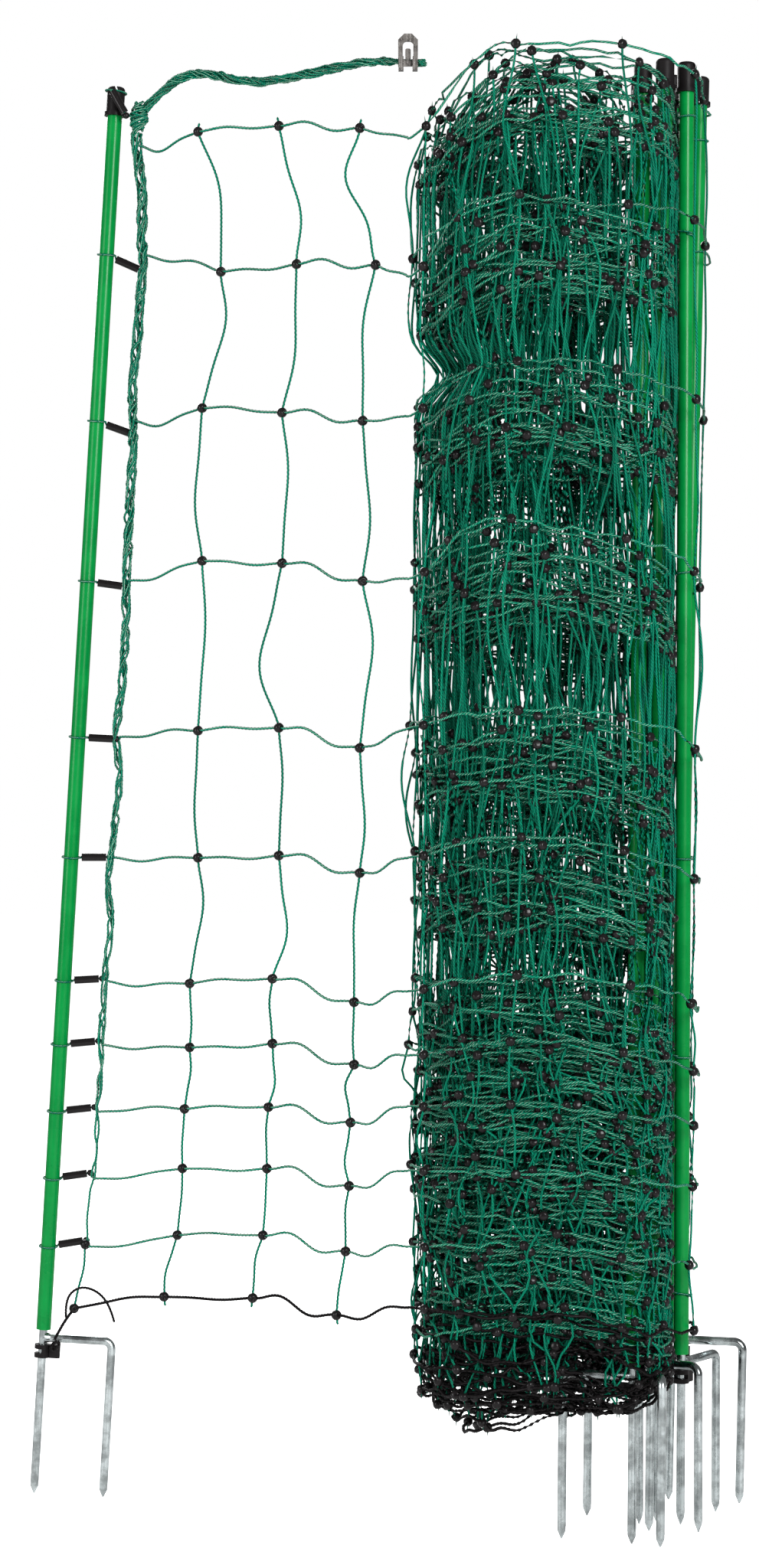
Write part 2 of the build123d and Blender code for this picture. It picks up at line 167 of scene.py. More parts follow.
LEAD_ROUTE = (
    (-226.0, 91.0, 1325.0), (-207.0, 82.0, 1347.0), (-172.0, 66.0, 1358.0), (-126.0, 44.0, 1341.0),
    (-84.0, 22.0, 1341.0), (-40.0, -4.0, 1346.0), (0.0, -28.0, 1347.0), (40.0, -51.0, 1338.4),
)
TAIL_ROUTE = (
    (-300.5, 83.8, 173.0), (-301.5, 82.0, 191.0), (-289.0, 80.5, 204.0),
    (-272.0, 80.0, 201.0), (-258.5, 79.0, 187.0), (-254.0, 78.0, 170.0),
)

# ---- the roll (millimetres, and degrees round its middle from +X) ---------------
ROLL_MIDDLE = (126.7, -13.0)
ROLL_START = -149.0
ROLL_TURNS = 54
UPRIGHT_PIECES = 3
WIDE_TURNS = 28.0
COLUMN_SPACING = 87.0
FIRST_COLUMN = 16.0
# Outline of the turns that go round the bundled posts: angle, radius, extra radius at the top.
WIDE_OUTLINE = (
    (-90, 99, 0), (-70, 106, 0), (-45, 138, -8), (-25, 146, -2), (-8, 138, 6), (0, 136, 9),
    (15, 132, 28), (30, 118, 48), (60, 104, 8), (90, 100, 0), (135, 98, 0), (180, 97, 0), (225, 97, 0),
)
OUTER_OUTLINE = (
    (-149, 117, 0), (-120, 105, 0), (-90, 101, 0), (-62, 117, 0), (-45, 146, 0), (-25, 160, 4),
    (-10, 163, 8), (0, 162, 10), (16, 160, 25), (30, 148, 74), (60, 116, 10), (90, 101, 0),
    (135, 98, 0), (180, 98, 0), (211, 98, 0),
)
# How much closer each further turn lies: all round, then by how much less at the posts.
WIDE_TIGHTENING = 0.95
POST_SIDE_EASING = 0.88
CORE_OUTER = (84.0, 73.0)
CORE_INNER = (52.0, 50.0)
CORE_SHIFT = 16.0
# How much higher each row rides at the roll's front, and then at its right side, than where it
# leaves the panel; with the share of each that applies at angles round the roll.
FRONT_LIFTS = (80.0, 65.0, 46.0, 48.0, 17.0, 18.0, 18.0, 15.0, 4.0, 2.0, 6.0, -1.0)
RIGHT_LIFTS = (58.0, 47.0, 9.0, -2.0, -24.0, -25.0, -18.0, -20.0, -22.0, -20.0, -24.0, -30.0)
FRONT_SHARE = (
    (-149, 0.55, 0), (-125, 0.82, 0), (-98, 1.0, 0), (-66, 0.94, 0), (-36, 0.52, 0), (-8, 0.0, 0),
    (60, 0.0, 0), (110, 0.25, 0), (180, 0.38, 0),
)
RIGHT_SHARE = (
    (-149, 0.0, 0), (-66, 0.03, 0), (-36, 0.48, 0), (-8, 1.0, 0), (30, 0.9, 0), (90, 0.45, 0),
    (160, 0.15, 0),
)
MOST_DROP = 112.0
SMILE = 15.0           # how much further the lowest rows droop at the left
PANEL_HOLD = 60.0      # how far along the net the open panel keeps it straight
CLIP_HEIGHT = 168.0    # where the lowest rows gather at the bundled posts' clips
DOME_START = 1215.0
DOME_SPREAD = 130.0
# Loose net, in millimetres each way: sideways, up and down, and in and out.
LEAN, FINE_LEAN = 15.0, 7.0
RIPPLE, FINE_RIPPLE = 6.0, 4.0
SWELL, OUTER_SWELL = 3.2, 1.5
BULGE, SLACK_BULGE = 1.5, 5.0
NET_HEIGHT = 1150.0
ROLL_STEP = 9.0        # distance between a wound strand's points
ROLL_BLACK_STEP = 4.0
STRAND_PIECE = 640.0   # the longest run of a wound row that is one strand
PINCH_HEIGHT = 1058.0
PINCH_DEPTH = 24.0
PINCH_SPREAD = 21.0


# ---- settings a user would change ----------------------------------------------
def length_setting(name, description, metres):
    return bpy.props.FloatProperty(name=name, description=description, default=metres, unit="LENGTH")


def colour_setting(name, description, colour):
    return bpy.props.FloatVectorProperty(
        name=name, description=description, default=colour, subtype="COLOR", size=3, min=0, max=1)


class FenceSizes(bpy.types.PropertyGroup):
    conductor: length_setting("Conductor", "Diameter of a green line", 0.0024)
    upright: length_setting("Upright", "Diameter of an upright strand", 0.0022)
    bottom_cord: length_setting("Bottom cord", "Diameter of the black cord", 0.0034)
    bead: length_setting("Knot bead", "Diameter of a moulded knot", 0.0096)
    pitch: length_setting("Lay", "Length of one full twist of a strand", 0.0115)


class FenceColours(bpy.types.PropertyGroup):
    strand: colour_setting("Strand", "Green of the net", (0.0, 0.205, 0.118))
    fleck: colour_setting("Wire", "Bright wires in the conductors", (0.72, 0.80, 0.66))
    tube: colour_setting("Tube", "Green of the posts", (0.0, 0.235, 0.042))
    black: colour_setting("Black", "Black plastic and cord", (0.010, 0.0085, 0.009))
    steel: colour_setting("Steel", "Zinc of the spikes", (0.50, 0.545, 0.55))


# ---- shader nodes ---------------------------------------------------------------
def add_node(tree, kind, **settings):
    node = tree.nodes.new(kind)
    for key, value in settings.items():
        setattr(node, key, value)
    return node


def feed(tree, socket, value):
    """Sets a socket to a plain value, or links it when given another node's output."""
    if isinstance(value, bpy.types.NodeSocket):
        tree.links.new(value, socket)
    elif value is not None:
        socket.default_value = value


def fill(tree, node, sockets):
    """Sets or links several inputs of a node, given by name or number."""
    for key, value in sockets.items():
        feed(tree, node.inputs[key], value)
    return node


def wired(tree, kind, sockets, output=0, **settings):
    """Adds a node with its inputs filled, and gives back one of its outputs."""
    return fill(tree, add_node(tree, kind, **settings), sockets).outputs[output]


def math_node(tree, operation, *values):
    return wired(tree, "ShaderNodeMath", dict(enumerate(values)), operation=operation)


def ramp(tree, value, low, high):
    return wired(tree, "ShaderNodeMapRange", {"Value": value, "From Min": low, "From Max": high},
                 "Result", interpolation_type="SMOOTHSTEP")


def mixed(tree, share, first, second):
    return wired(tree, "ShaderNodeMix", {"Factor": share, "A": first, "B": second},
                 "Result", data_type="RGBA")


def noise(tree, vector, scale, detail=3.0, roughness=0.5):
    return wired(tree, "ShaderNodeTexNoise", {
        "Vector": vector, "Scale": scale, "Detail": detail, "Roughness": roughness}, "Fac")


def object_place(tree):
    return add_node(tree, "ShaderNodeTexCoord").outputs["Object"]


def shader_group(name, inputs, outputs):
    """An empty shader node group with named float inputs and outputs."""
    group = bpy.data.node_groups.new(name, "ShaderNodeTree")
    for label, value in inputs:
        socket = group.interface.new_socket(name=label, in_out="INPUT", socket_type="NodeSocketFloat")
        socket.default_value = value
    for label in outputs:
        group.interface.new_socket(name=label, in_out="OUTPUT", socket_type="NodeSocketFloat")
    return group, group.nodes.new("NodeGroupInput"), group.nodes.new("NodeGroupOutput")


def twisted_lay_group():
    """Plies winding round a strand: their height, a mask of painted shade for the grooves between them, and a
    wire's flecks.
    """
    found = bpy.data.node_groups.get("twisted_lay")
    if found:
        return found
    group, given, out = shader_group(
        "twisted_lay", (("Lay", 0.0115), ("Plies", 3.0), ("Wire Width", 0.3)), ("Height", "Painted Groove Shade", "Wire"))
    ring = add_node(group, "ShaderNodeAttribute", attribute_name="ring")
    along = add_node(group, "ShaderNodeAttribute", attribute_name="along")
    split = fill(group, add_node(group, "ShaderNodeSeparateXYZ"), {0: ring.outputs["Vector"]})
    angle = math_node(group, "ARCTAN2", split.outputs["Y"], split.outputs["X"])
    travel = math_node(group, "DIVIDE", along.outputs["Fac"], given.outputs["Lay"])
    turned = math_node(group, "MULTIPLY_ADD", travel, TAU, angle)
    phase = math_node(group, "MULTIPLY", turned, given.outputs["Plies"])
    wave = math_node(group, "MULTIPLY_ADD", math_node(group, "COSINE", phase), 0.5, 0.5)
    wire_wave = math_node(group, "COSINE", math_node(group, "ADD", phase, WIRE_LEAD))
    patches = ramp(group, noise(group, object_place(group), WIRE_PATCHES, 2.0), 0.36, 0.5)
    level = math_node(group, "MULTIPLY_ADD", given.outputs["Wire Width"], -2.0, 1.0)
    shown = ramp(group, math_node(group, "SUBTRACT", wire_wave, level), 0.0, 0.25)
    # The groove output is a mask of painted shade: it is 1 in the grooves between the plies, where the
    # material darkens the colour.
    fill(group, out, {
        "Height": math_node(group, "POWER", wave, 0.6),
        "Painted Groove Shade": math_node(group, "SUBTRACT", 1.0, ramp(group, wave, 0.0, 0.35)),
        "Wire": math_node(group, "MULTIPLY", shown, patches)})
    return group


def wear_group():
    """Soft blotches and fine lengthways scratches, in object coordinates."""
    found = bpy.data.node_groups.get("handling_wear")
    if found:
        return found
    group, given, out = shader_group(
        "handling_wear", (("Blotch Scale", 18.0), ("Scratch Scale", 900.0)), ("Blotch", "Scratch"))
    place = object_place(group)
    stretched = wired(group, "ShaderNodeMapping", {
        "Vector": place, "Scale": (1.0, 1.0, SCRATCH_STRETCH)}, "Vector")
    blotch = noise(group, place, given.outputs["Blotch Scale"], 4.0, 0.6)
    scratch = noise(group, stretched, given.outputs["Scratch Scale"], 2.0)
    fill(group, out, {"Blotch": ramp(group, blotch, 0.35, 0.65), "Scratch": ramp(group, scratch, 0.55, 0.72)})
    return group


def start_material(name):
    material = bpy.data.materials.new(name)
    material.use_nodes = True
    tree = material.node_tree
    shader = next(n for n in tree.nodes if n.type == "BSDF_PRINCIPLED")
    return material, tree, shader


def bumped(tree, shader, height, strength, distance):
    normal = wired(tree, "ShaderNodeBump", {
        "Strength": strength, "Distance": distance, "Height": height}, "Normal")
    feed(tree, shader.inputs["Normal"], normal)


def tone(colour, share):
    return tuple(min(1.0, c * share) for c in colour[:3]) + (1.0,)


def strand_material(name, colour, wire_colour, wire_width, pitch, bump_strength, roughness):
    """Twisted plastic twine, with bright wires where a conductor has them and painted shade darkening the
    grooves between its plies.
    """
    material, tree, shader = start_material(name)
    lay = fill(tree, add_node(tree, "ShaderNodeGroup", node_tree=twisted_lay_group()), {
        "Lay": pitch, "Plies": 3.0, "Wire Width": wire_width})
    shade = add_node(tree, "ShaderNodeAttribute", attribute_name="tint")
    lively = mixed(tree, shade.outputs["Fac"], tone(colour, 0.66), tone(colour, 1.3))
    # Painted shade: the grooves between the plies are darkened to 0.16 of the strand's colour.
    dark = mixed(tree, lay.outputs["Painted Groove Shade"], lively, tone(colour, 0.16))
    fill(tree, shader, {
        "Base Color": mixed(tree, lay.outputs["Wire"], dark, tone(wire_colour, 1.0)),
        "Metallic": math_node(tree, "MULTIPLY", lay.outputs["Wire"], 0.35),
        "Roughness": roughness, "Specular IOR Level": STRAND_SHEEN})
    bumped(tree, shader, lay.outputs["Height"], bump_strength, 0.0005)
    return material


def worn_material(name, blotch_scale, scratch_scale, smoothest, spread):
    """A material with the handling wear group, whose blotches are a little rougher."""
    material, tree, shader = start_material(name)
    wear = fill(tree, add_node(tree, "ShaderNodeGroup", node_tree=wear_group()), {
        "Blotch Scale": blotch_scale, "Scratch Scale": scratch_scale})
    roughness = math_node(tree, "MULTIPLY_ADD", wear.outputs["Blotch"], spread, smoothest)
    feed(tree, shader.inputs["Roughness"], roughness)
    return material, tree, shader, wear.outputs["Blotch"], wear.outputs["Scratch"]


def plastic_material(name, colour, roughness, grain, coat):
    """Moulded or drawn plastic: blotchy tone, fine draw lines and a slight gloss."""
    material, tree, shader, blotch, scratch = worn_material(name, 26.0, 1100.0, roughness, 0.1)
    base = mixed(tree, blotch, tone(colour, 0.9), tone(colour, 1.1))
    lines = math_node(tree, "MULTIPLY", scratch, 0.12)
    fill(tree, shader, {
        "Base Color": mixed(tree, lines, base, tone(colour, 1.5)), "Specular IOR Level": PLASTIC_SHEEN,
        "Coat Weight": coat, "Coat Roughness": 0.12})
    bumped(tree, shader, noise(tree, object_place(tree), 2600.0, 2.0), grain, 0.0002)
    return material


def zinc_material(name, colour):
    """Zinc plate over steel rod: cool blotches, dark rubs and fine drawn lines."""
    material, tree, shader, blotch, scratch = worn_material(name, 70.0, 1500.0, 0.16, 0.14)
    base = mixed(tree, blotch, tone(colour, 0.6), tone(colour, 1.3))
    rubs = math_node(tree, "MULTIPLY", scratch, 0.5)
    fill(tree, shader, {"Base Color": mixed(tree, rubs, base, tone(colour, 0.5)), "Metallic": 1.0})
    bumped(tree, shader, noise(tree, object_place(tree), 900.0, 3.0), 0.12, 0.0004)
    return material


def stainless_material(name):
    """Pressed spring steel of the lead's connector, brushed along its length."""
    material, tree, shader, _, scratch = worn_material(name, 160.0, 2400.0, 0.26, 0.14)
    fill(tree, shader, {"Base Color": mixed(tree, scratch, DARK_STEEL, BRIGHT_STEEL), "Metallic": 1.0})
    bumped(tree, shader, scratch, 0.15, 0.0001)
    return material


FINISHES = {}


def make_finishes(sizes, colours):
    plain = (0.02, 0.02, 0.02)
    FINISHES["conductor"] = strand_material(
        "green_conductor", colours.strand, colours.fleck, 0.08, sizes.pitch, 0.5, 0.42)
    FINISHES["upright"] = strand_material(
        "green_upright", colours.strand, colours.strand, 0.0, sizes.pitch, 0.6, 0.42)
    FINISHES["black_cord"] = strand_material(
        "black_cord", colours.black, plain, 0.0, sizes.pitch, 0.8, 0.36)
    FINISHES["bead"] = plastic_material("knot_plastic", colours.black, 0.2, 0.05, 0.15)
    FINISHES["black"] = plastic_material("black_plastic", colours.black, 0.38, 0.25, 0.0)
    FINISHES["tube"] = plastic_material("post_green_plastic", colours.tube, 0.24, 0.02, 0.1)
    FINISHES["zinc"] = zinc_material("zinc_plate", colours.steel)
    FINISHES["stainless"] = stainless_material("connector_steel")


# ---- geometry nodes ---------------------------------------------------------------
def node_tree(name, inputs):
    tree = bpy.data.node_groups.new(name, "GeometryNodeTree")
    tree.interface.new_socket(name="Geometry", in_out="INPUT", socket_type="NodeSocketGeometry")
    for label, kind in inputs:
        tree.interface.new_socket(name=label, in_out="INPUT", socket_type=kind)
    tree.interface.new_socket(name="Geometry", in_out="OUTPUT", socket_type="NodeSocketGeometry")
    return tree, tree.nodes.new("NodeGroupInput"), tree.nodes.new("NodeGroupOutput")


def named(tree, label, kind="FLOAT"):
    return wired(tree, "GeometryNodeInputNamedAttribute", {"Name": label}, "Attribute", data_type=kind)


def store(tree, geometry, label, value, kind="FLOAT", domain="POINT"):
    return wired(tree, "GeometryNodeStoreNamedAttribute", {
        "Geometry": geometry, "Name": label, "Value": value}, "Geometry", data_type=kind, domain=domain)


def dress(tree, geometry, given, out):
    """Gives the geometry the tree's material and sends it out."""
    dressed = wired(tree, "GeometryNodeSetMaterial", {
        "Geometry": geometry, "Material": given.outputs["Material"]}, "Geometry")
    feed(tree, out.inputs["Geometry"], dressed)


def strand_tree():
    """Sweeps a lobed ring along every line of a wire mesh, twisting as it goes."""
    found = bpy.data.node_groups.get("strand_sweep")
    if found:
        return found
    tree, given, out = node_tree("strand_sweep", (
        ("Sides", "NodeSocketInt"), ("Lobe Depth", "NodeSocketFloat"), ("Lay", "NodeSocketFloat"),
        ("Map Strip", "NodeSocketFloat"), ("Material", "NodeSocketMaterial")))
    sides = given.outputs["Sides"]
    ring = wired(tree, "GeometryNodeCurveArc", {
        "Radius": 1.0, "Start Angle": 0.0, "Sweep Angle": TAU,
        "Resolution": math_node(tree, "ADD", sides, 1.0)}, "Curve")
    place = add_node(tree, "GeometryNodeInputPosition").outputs[0]
    ring = store(tree, ring, "ring", place, "FLOAT_VECTOR")
    turn = math_node(tree, "DIVIDE", add_node(tree, "GeometryNodeInputIndex").outputs[0], sides)
    ring = store(tree, ring, "around", turn)
    wave = math_node(tree, "COSINE", math_node(tree, "MULTIPLY", turn, 3 * TAU))
    wave = math_node(tree, "MULTIPLY_ADD", wave, given.outputs["Lobe Depth"], 1.0)
    lobed = wired(tree, "ShaderNodeVectorMath", {0: place, "Scale": wave}, operation="SCALE")
    ring = wired(tree, "GeometryNodeSetPosition", {"Geometry": ring, "Position": lobed}, "Geometry")
    lines = wired(tree, "GeometryNodeMeshToCurve", {"Mesh": given.outputs["Geometry"]}, "Curve")
    travel = math_node(tree, "DIVIDE", named(tree, "along"), given.outputs["Lay"])
    twist = math_node(tree, "MULTIPLY", travel, TAU)
    lines = wired(tree, "GeometryNodeSetCurveTilt", {"Curve": lines, "Tilt": twist}, "Curve")
    thickness = named(tree, "thickness")
    lines = wired(tree, "GeometryNodeSetCurveRadius", {"Curve": lines, "Radius": thickness}, "Curve")
    sweep = fill(tree, add_node(tree, "GeometryNodeCurveToMesh"), {"Curve": lines, "Profile Curve": ring})
    if "Scale" in sweep.inputs:
        feed(tree, sweep.inputs["Scale"], thickness)
    high = math_node(
        tree, "MULTIPLY_ADD", named(tree, "around"), given.outputs["Map Strip"], named(tree, "map_v"))
    spot = wired(tree, "ShaderNodeCombineXYZ", {0: named(tree, "map_u"), 1: high, 2: 0.0})
    made = store(tree, sweep.outputs["Mesh"], "OFBake", spot, "FLOAT2", "CORNER")
    made = wired(tree, "GeometryNodeMergeByDistance", {"Geometry": made, "Distance": SEAM_GAP}, "Geometry")
    made = wired(tree, "GeometryNodeSetShadeSmooth", {"Geometry": made}, "Geometry")
    made = wired(tree, "GeometryNodeRealizeInstances", {"Geometry": made}, "Geometry")
    dress(tree, made, given, out)
    return tree


def bead_tree():
    """Sets one moulded bead on each point, turned to face the way the net faces there."""
    found = bpy.data.node_groups.get("bead_setting")
    if found:
        return found
    tree, given, out = node_tree("bead_setting", (
        ("Bead", "NodeSocketObject"), ("Map Grid", "NodeSocketFloat"), ("Material", "NodeSocketMaterial")))
    bead = wired(tree, "GeometryNodeObjectInfo", {"Object": given.outputs["Bead"]}, "Geometry")
    facing = wired(tree, "FunctionNodeAlignRotationToVector", {
        "Vector": named(tree, "facing", "FLOAT_VECTOR")}, "Rotation", axis="Z")
    made = wired(tree, "GeometryNodeInstanceOnPoints", {
        "Points": given.outputs["Geometry"], "Instance": bead, "Rotation": facing,
        "Scale": named(tree, "thickness")}, "Instances")
    made = wired(tree, "GeometryNodeRealizeInstances", {"Geometry": made}, "Geometry")
    spot = wired(tree, "ShaderNodeVectorMath", {
        0: named(tree, "cell", "FLOAT_VECTOR"), 1: named(tree, "bead_map", "FLOAT_VECTOR")}, operation="ADD")
    cell_width = math_node(tree, "DIVIDE", 1.0, given.outputs["Map Grid"])
    spot = wired(tree, "ShaderNodeVectorMath", {0: spot, "Scale": cell_width}, operation="SCALE")
    dress(tree, store(tree, made, "OFBake", spot, "FLOAT2", "CORNER"), given, out)
    return tree


def evaluated(name, holder, tree, values):
    """Runs a node tree on a holder object and keeps the result as a plain mesh object."""
    modifier = holder.modifiers.new("build", "NODES")
    modifier.node_group = tree
    for item in tree.interface.items_tree:
        if item.item_type == "SOCKET" and item.in_out == "INPUT" and item.name in values:
            modifier[item.identifier] = values[item.name]
    bpy.context.view_layer.update()
    graph = bpy.context.evaluated_depsgraph_get()
    made = bpy.data.meshes.new_from_object(
        holder.evaluated_get(graph), preserve_all_data_layers=True, depsgraph=graph)
    holder.modifiers.remove(modifier)
    bpy.data.objects.remove(holder)
    made.name = name
    return linked_object(name, made)


def linked_object(name, data):
    made = bpy.data.objects.new(name, data)
    bpy.context.scene.collection.objects.link(made)
    return made


def keep_numbers(mesh, label, kind, values, field):
    attribute = mesh.attributes.new(label, kind, "POINT")
    attribute.data.foreach_set(field, np.asarray(values, np.float32).ravel())


def travelled(points):
    """How far along a line each of its points is."""
    return np.concatenate(([0.0], np.cumsum(np.linalg.norm(np.diff(points, axis=0), axis=1))))


class Line:
    """One strand: its points in millimetres, its radius, its tone and where its twist starts."""

    def __init__(self, points, radius, tint=0.5, start=0.0):
        self.points = np.asarray(points, float)
        self.radius = radius
        self.thickness = np.full(len(self.points), float(radius))
        self.thickness[0] = self.thickness[-1] = 0.0
        self.tint = np.full(len(self.points), tint)
        self.along = start + travelled(self.points)
        self.length = self.along[-1] - self.along[0]


def lay_on_map(lines, girth):
    """Packs the strands side by side in level strips of one square map."""
    total = sum(line.length for line in lines)
    longest = max(line.length for line in lines)
    reach = max(math.sqrt(total * girth), longest) * 1.04
    strips = [[]]
    used = 0.0
    for line in lines:
        if used + line.length > reach:
            strips.append([])
            used = 0.0
        strips[-1].append((line, used))
        used += line.length * 1.005
    height = 1.0 / len(strips)
    for number, strip in enumerate(strips):
        for line, offset in strip:
            line.map_u = (offset + line.along - line.along[0]) / reach
            line.map_v = np.full(len(line.along), number * height)
    return height


def make_strands(name, lines, finish, sides=6, lobe=0.1):
    """Turns lines into one mesh of closed strands by the sweeping tree."""
    strip = lay_on_map(lines, TAU * lines[0].radius)
    points = np.concatenate([line.points for line in lines]) * MM
    ends = np.cumsum([0] + [len(line.points) for line in lines])
    edges = np.concatenate([
        np.stack((np.arange(a, b - 1), np.arange(a + 1, b)), axis=1) for a, b in zip(ends, ends[1:])])
    mesh = bpy.data.meshes.new(name + "_lines")
    mesh.from_pydata(points.tolist(), edges.tolist(), [])
    for label, unit in (("thickness", MM), ("along", MM), ("tint", 1.0), ("map_u", 1.0), ("map_v", 1.0)):
        values = np.concatenate([getattr(line, label) for line in lines]) * unit
        keep_numbers(mesh, label, "FLOAT", values, "value")
    holder = linked_object(name + "_holder", mesh)
    return evaluated(name, holder, strand_tree(), {
        "Sides": sides, "Lobe Depth": lobe, "Lay": bpy.context.scene.fence_sizes.pitch,
        "Map Strip": strip * 0.96, "Material": FINISHES[finish]})


def bead_shape(sides, profile):
    """A moulded knot: a round bead with a raised ring and a dimple on both faces."""
    mesh = bpy.data.meshes.new("bead_shape")
    work = bmesh.new()
    rings = []
    for radius, height in profile:
        count = sides if radius > 0 else 1
        rings.append([
            work.verts.new((radius * math.cos(TAU * i / sides), radius * math.sin(TAU * i / sides), height))
            for i in range(count)])
    for lower, upper in zip(rings, rings[1:]):
        for i in range(sides):
            corners = [lower[i % len(lower)], lower[(i + 1) % sides % len(lower)],
                       upper[(i + 1) % sides % len(upper)], upper[i % len(upper)]]
            work.faces.new(list(dict.fromkeys(corners)))
    bmesh.ops.recalc_face_normals(work, faces=work.faces[:])
    work.to_mesh(mesh)
    work.free()
    mesh.shade_smooth()
    flat = mesh.attributes.new("bead_map", "FLOAT_VECTOR", "CORNER")
    values = []
    for face in mesh.polygons:
        side = 0.0 if face.center.z > 0 else 0.5
        for corner in face.vertices:
            place = mesh.vertices[corner].co
            values += [0.25 + side + 0.2 * place.x, 0.5 + 0.4 * place.y, 0.0]
    flat.data.foreach_set("vector", values)
    return mesh


BEAD_PROFILE = ((0.0, -0.5), (0.46, -0.78), (0.86, -0.5), (1.0, 0.0), (0.86, 0.5), (0.46, 0.78), (0.0, 0.5))
FINE_PROFILE = (
    (0.0, -0.52), (0.2, -0.54), (0.34, -0.74), (0.5, -0.8), (0.62, -0.72), (0.86, -0.5), (0.97, -0.22),
    (1.0, 0.0), (0.97, 0.22), (0.86, 0.5), (0.62, 0.72), (0.5, 0.8), (0.34, 0.74), (0.2, 0.54), (0.0, 0.52))


def make_beads(name, places, facings, radii, fine, body, replaced=()):
    """Sets a moulded bead at each place, in millimetres, on a body."""
    mesh = bpy.data.meshes.new(name + "_points")
    mesh.from_pydata((np.asarray(places) * MM).tolist(), [], [])
    count = len(places)
    grid = math.ceil(math.sqrt(count))
    cells = np.stack((np.arange(count) % grid, np.arange(count) // grid, np.zeros(count)), axis=1)
    keep_numbers(mesh, "facing", "FLOAT_VECTOR", facings, "vector")
    keep_numbers(mesh, "cell", "FLOAT_VECTOR", cells, "vector")
    keep_numbers(mesh, "thickness", "FLOAT", np.asarray(radii) * MM, "value")
    shape = bead_shape(20, FINE_PROFILE) if fine else bead_shape(8, BEAD_PROFILE)
    pattern = linked_object(name + "_pattern", shape)
    holder = linked_object(name + "_holder", mesh)
    piece = evaluated(name, holder, bead_tree(), {
        "Bead": pattern, "Map Grid": float(grid), "Material": FINISHES["bead"]})
    bpy.data.objects.remove(pattern)
    finish_piece(piece, body, replaced)


# ---- paths -----------------------------------------------------------------------
def smooth_path(points, step):
    """A smooth line through the points, with places about one step apart."""
    points = np.asarray(points, float)
    padded = np.vstack((2 * points[0] - points[1], points, 2 * points[-1] - points[-2]))
    made = []
    for before, start, end, after in zip(padded, padded[1:], padded[2:], padded[3:]):
        count = max(2, int(round(np.linalg.norm(end - start) / step)))
        t = np.arange(count)[:, None] / count
        made.append(0.5 * (
            2 * start + (end - before) * t + (2 * before - 5 * start + 4 * end - after) * t**2
            + (3 * start - before - 3 * end + after) * t**3))
    return np.vstack(made + [points[-1:]])


def sine_noise(seed, count, spans):
    """A smooth random function of several variables, from -1 to 1, as a sum of waves."""
    source = np.random.default_rng(seed)
    rates = [TAU / source.uniform(low, high, count) * source.choice((-1, 1), count) for low, high in spans]
    phases = source.uniform(0, TAU, count)

    def value(*places):
        total = 0.0
        for number in range(count):
            angle = phases[number]
            for rate, place in zip(rates, places):
                angle = angle + rate[number] * place
            total = total + np.sin(angle)
        return total / math.sqrt(count) / 1.4

    return value


def spline_points(route, name):
    """The points of a smooth cord along a route, read from its NURBS spline."""
    curve = bpy.data.curves.new(name, "CURVE")
    curve.dimensions = "3D"
    spline = curve.splines.new("NURBS")
    spline.points.add(len(route) - 1)
    for point, place in zip(spline.points, route):
        point.co = (*[c * MM for c in place], 1.0)
    spline.order_u = 3
    spline.use_endpoint_u = True
    spline.resolution_u = 24
    holder = linked_object(name, curve)
    bpy.context.view_layer.update()
    graph = bpy.context.evaluated_depsgraph_get()
    line = bpy.data.meshes.new_from_object(holder.evaluated_get(graph))
    points = np.array([v.co[:] for v in line.vertices]) / MM
    bpy.data.objects.remove(holder)
    bpy.data.meshes.remove(line)
    return points


def evenly(points, step):
    """The same line with its points one step apart."""
    travel = travelled(points)
    count = max(2, int(round(travel[-1] / step)) + 1)
    stops = np.linspace(0.0, travel[-1], count)
    return np.stack([np.interp(stops, travel, points[:, axis]) for axis in range(3)], axis=1)


def cross_axes(points):
    """Two directions across a line at each of its points, without sudden turns."""
    tangents = np.gradient(points, axis=0)
    tangents /= np.linalg.norm(tangents, axis=1)[:, None]
    side = np.array((0.0, 1.0, 0.0))
    sides = []
    for tangent in tangents:
        side = side - tangent * (side @ tangent)
        side = side / np.linalg.norm(side)
        sides.append(side)
    sides = np.array(sides)
    return sides, np.cross(tangents, sides)


def wound_round(points, radius, phase, lay, wander=0.0, seed=0):
    """A strand that winds round a line at the given radius, which may vary along it."""
    sides, others = cross_axes(points)
    travel = travelled(points)
    loose = sine_noise(seed, 3, ((25.0, 60.0),))
    angle = phase + TAU * travel / lay + wander * loose(travel)
    reach = radius * (1.0 + 0.25 * wander * loose(travel + 300.0))
    return points + (sides.T * np.cos(angle) * reach + others.T * np.sin(angle) * reach).T


def black_plies(path):
    """The three plies of the black cord along a path."""
    return [Line(wound_round(path, PLY_REACH, TAU * ply / 3, PLY_LAY), PLY_RADIUS, 0.3 + 0.15 * ply)
            for ply in range(3)]


# ---- the open panel -----------------------------------------------------------------
def panel_depth(x):
    slope = (PANEL_HINGE[1] - PANEL_START[1]) / (PANEL_HINGE[0] - PANEL_START[0])
    return PANEL_START[1] + slope * (x - PANEL_START[0])


def knot_place(row, column):
    height, drift, *rises = NET_ROWS[row]
    x = COLUMN_PLACES[column] + drift * COLUMN_DRIFT[column]
    rise = 0.0 if column == 0 else rises[column - 1]
    return np.array((x, panel_depth(x), height + rise))


def rope_place(height):
    heights = [z for _, z in reversed(EDGE_ROPE)]
    places = [x for x, _ in reversed(EDGE_ROPE)]
    return np.array((np.interp(height, heights, places), EDGE_ROPE_Y, height))


def row_start(row):
    if row == 0:
        return rope_place(TOP_TIE)
    if row == BOTTOM_ROW:
        return np.array(EDGE_BEAD_LOWER)
    return rope_place(TIE_HEIGHTS[row - 1])


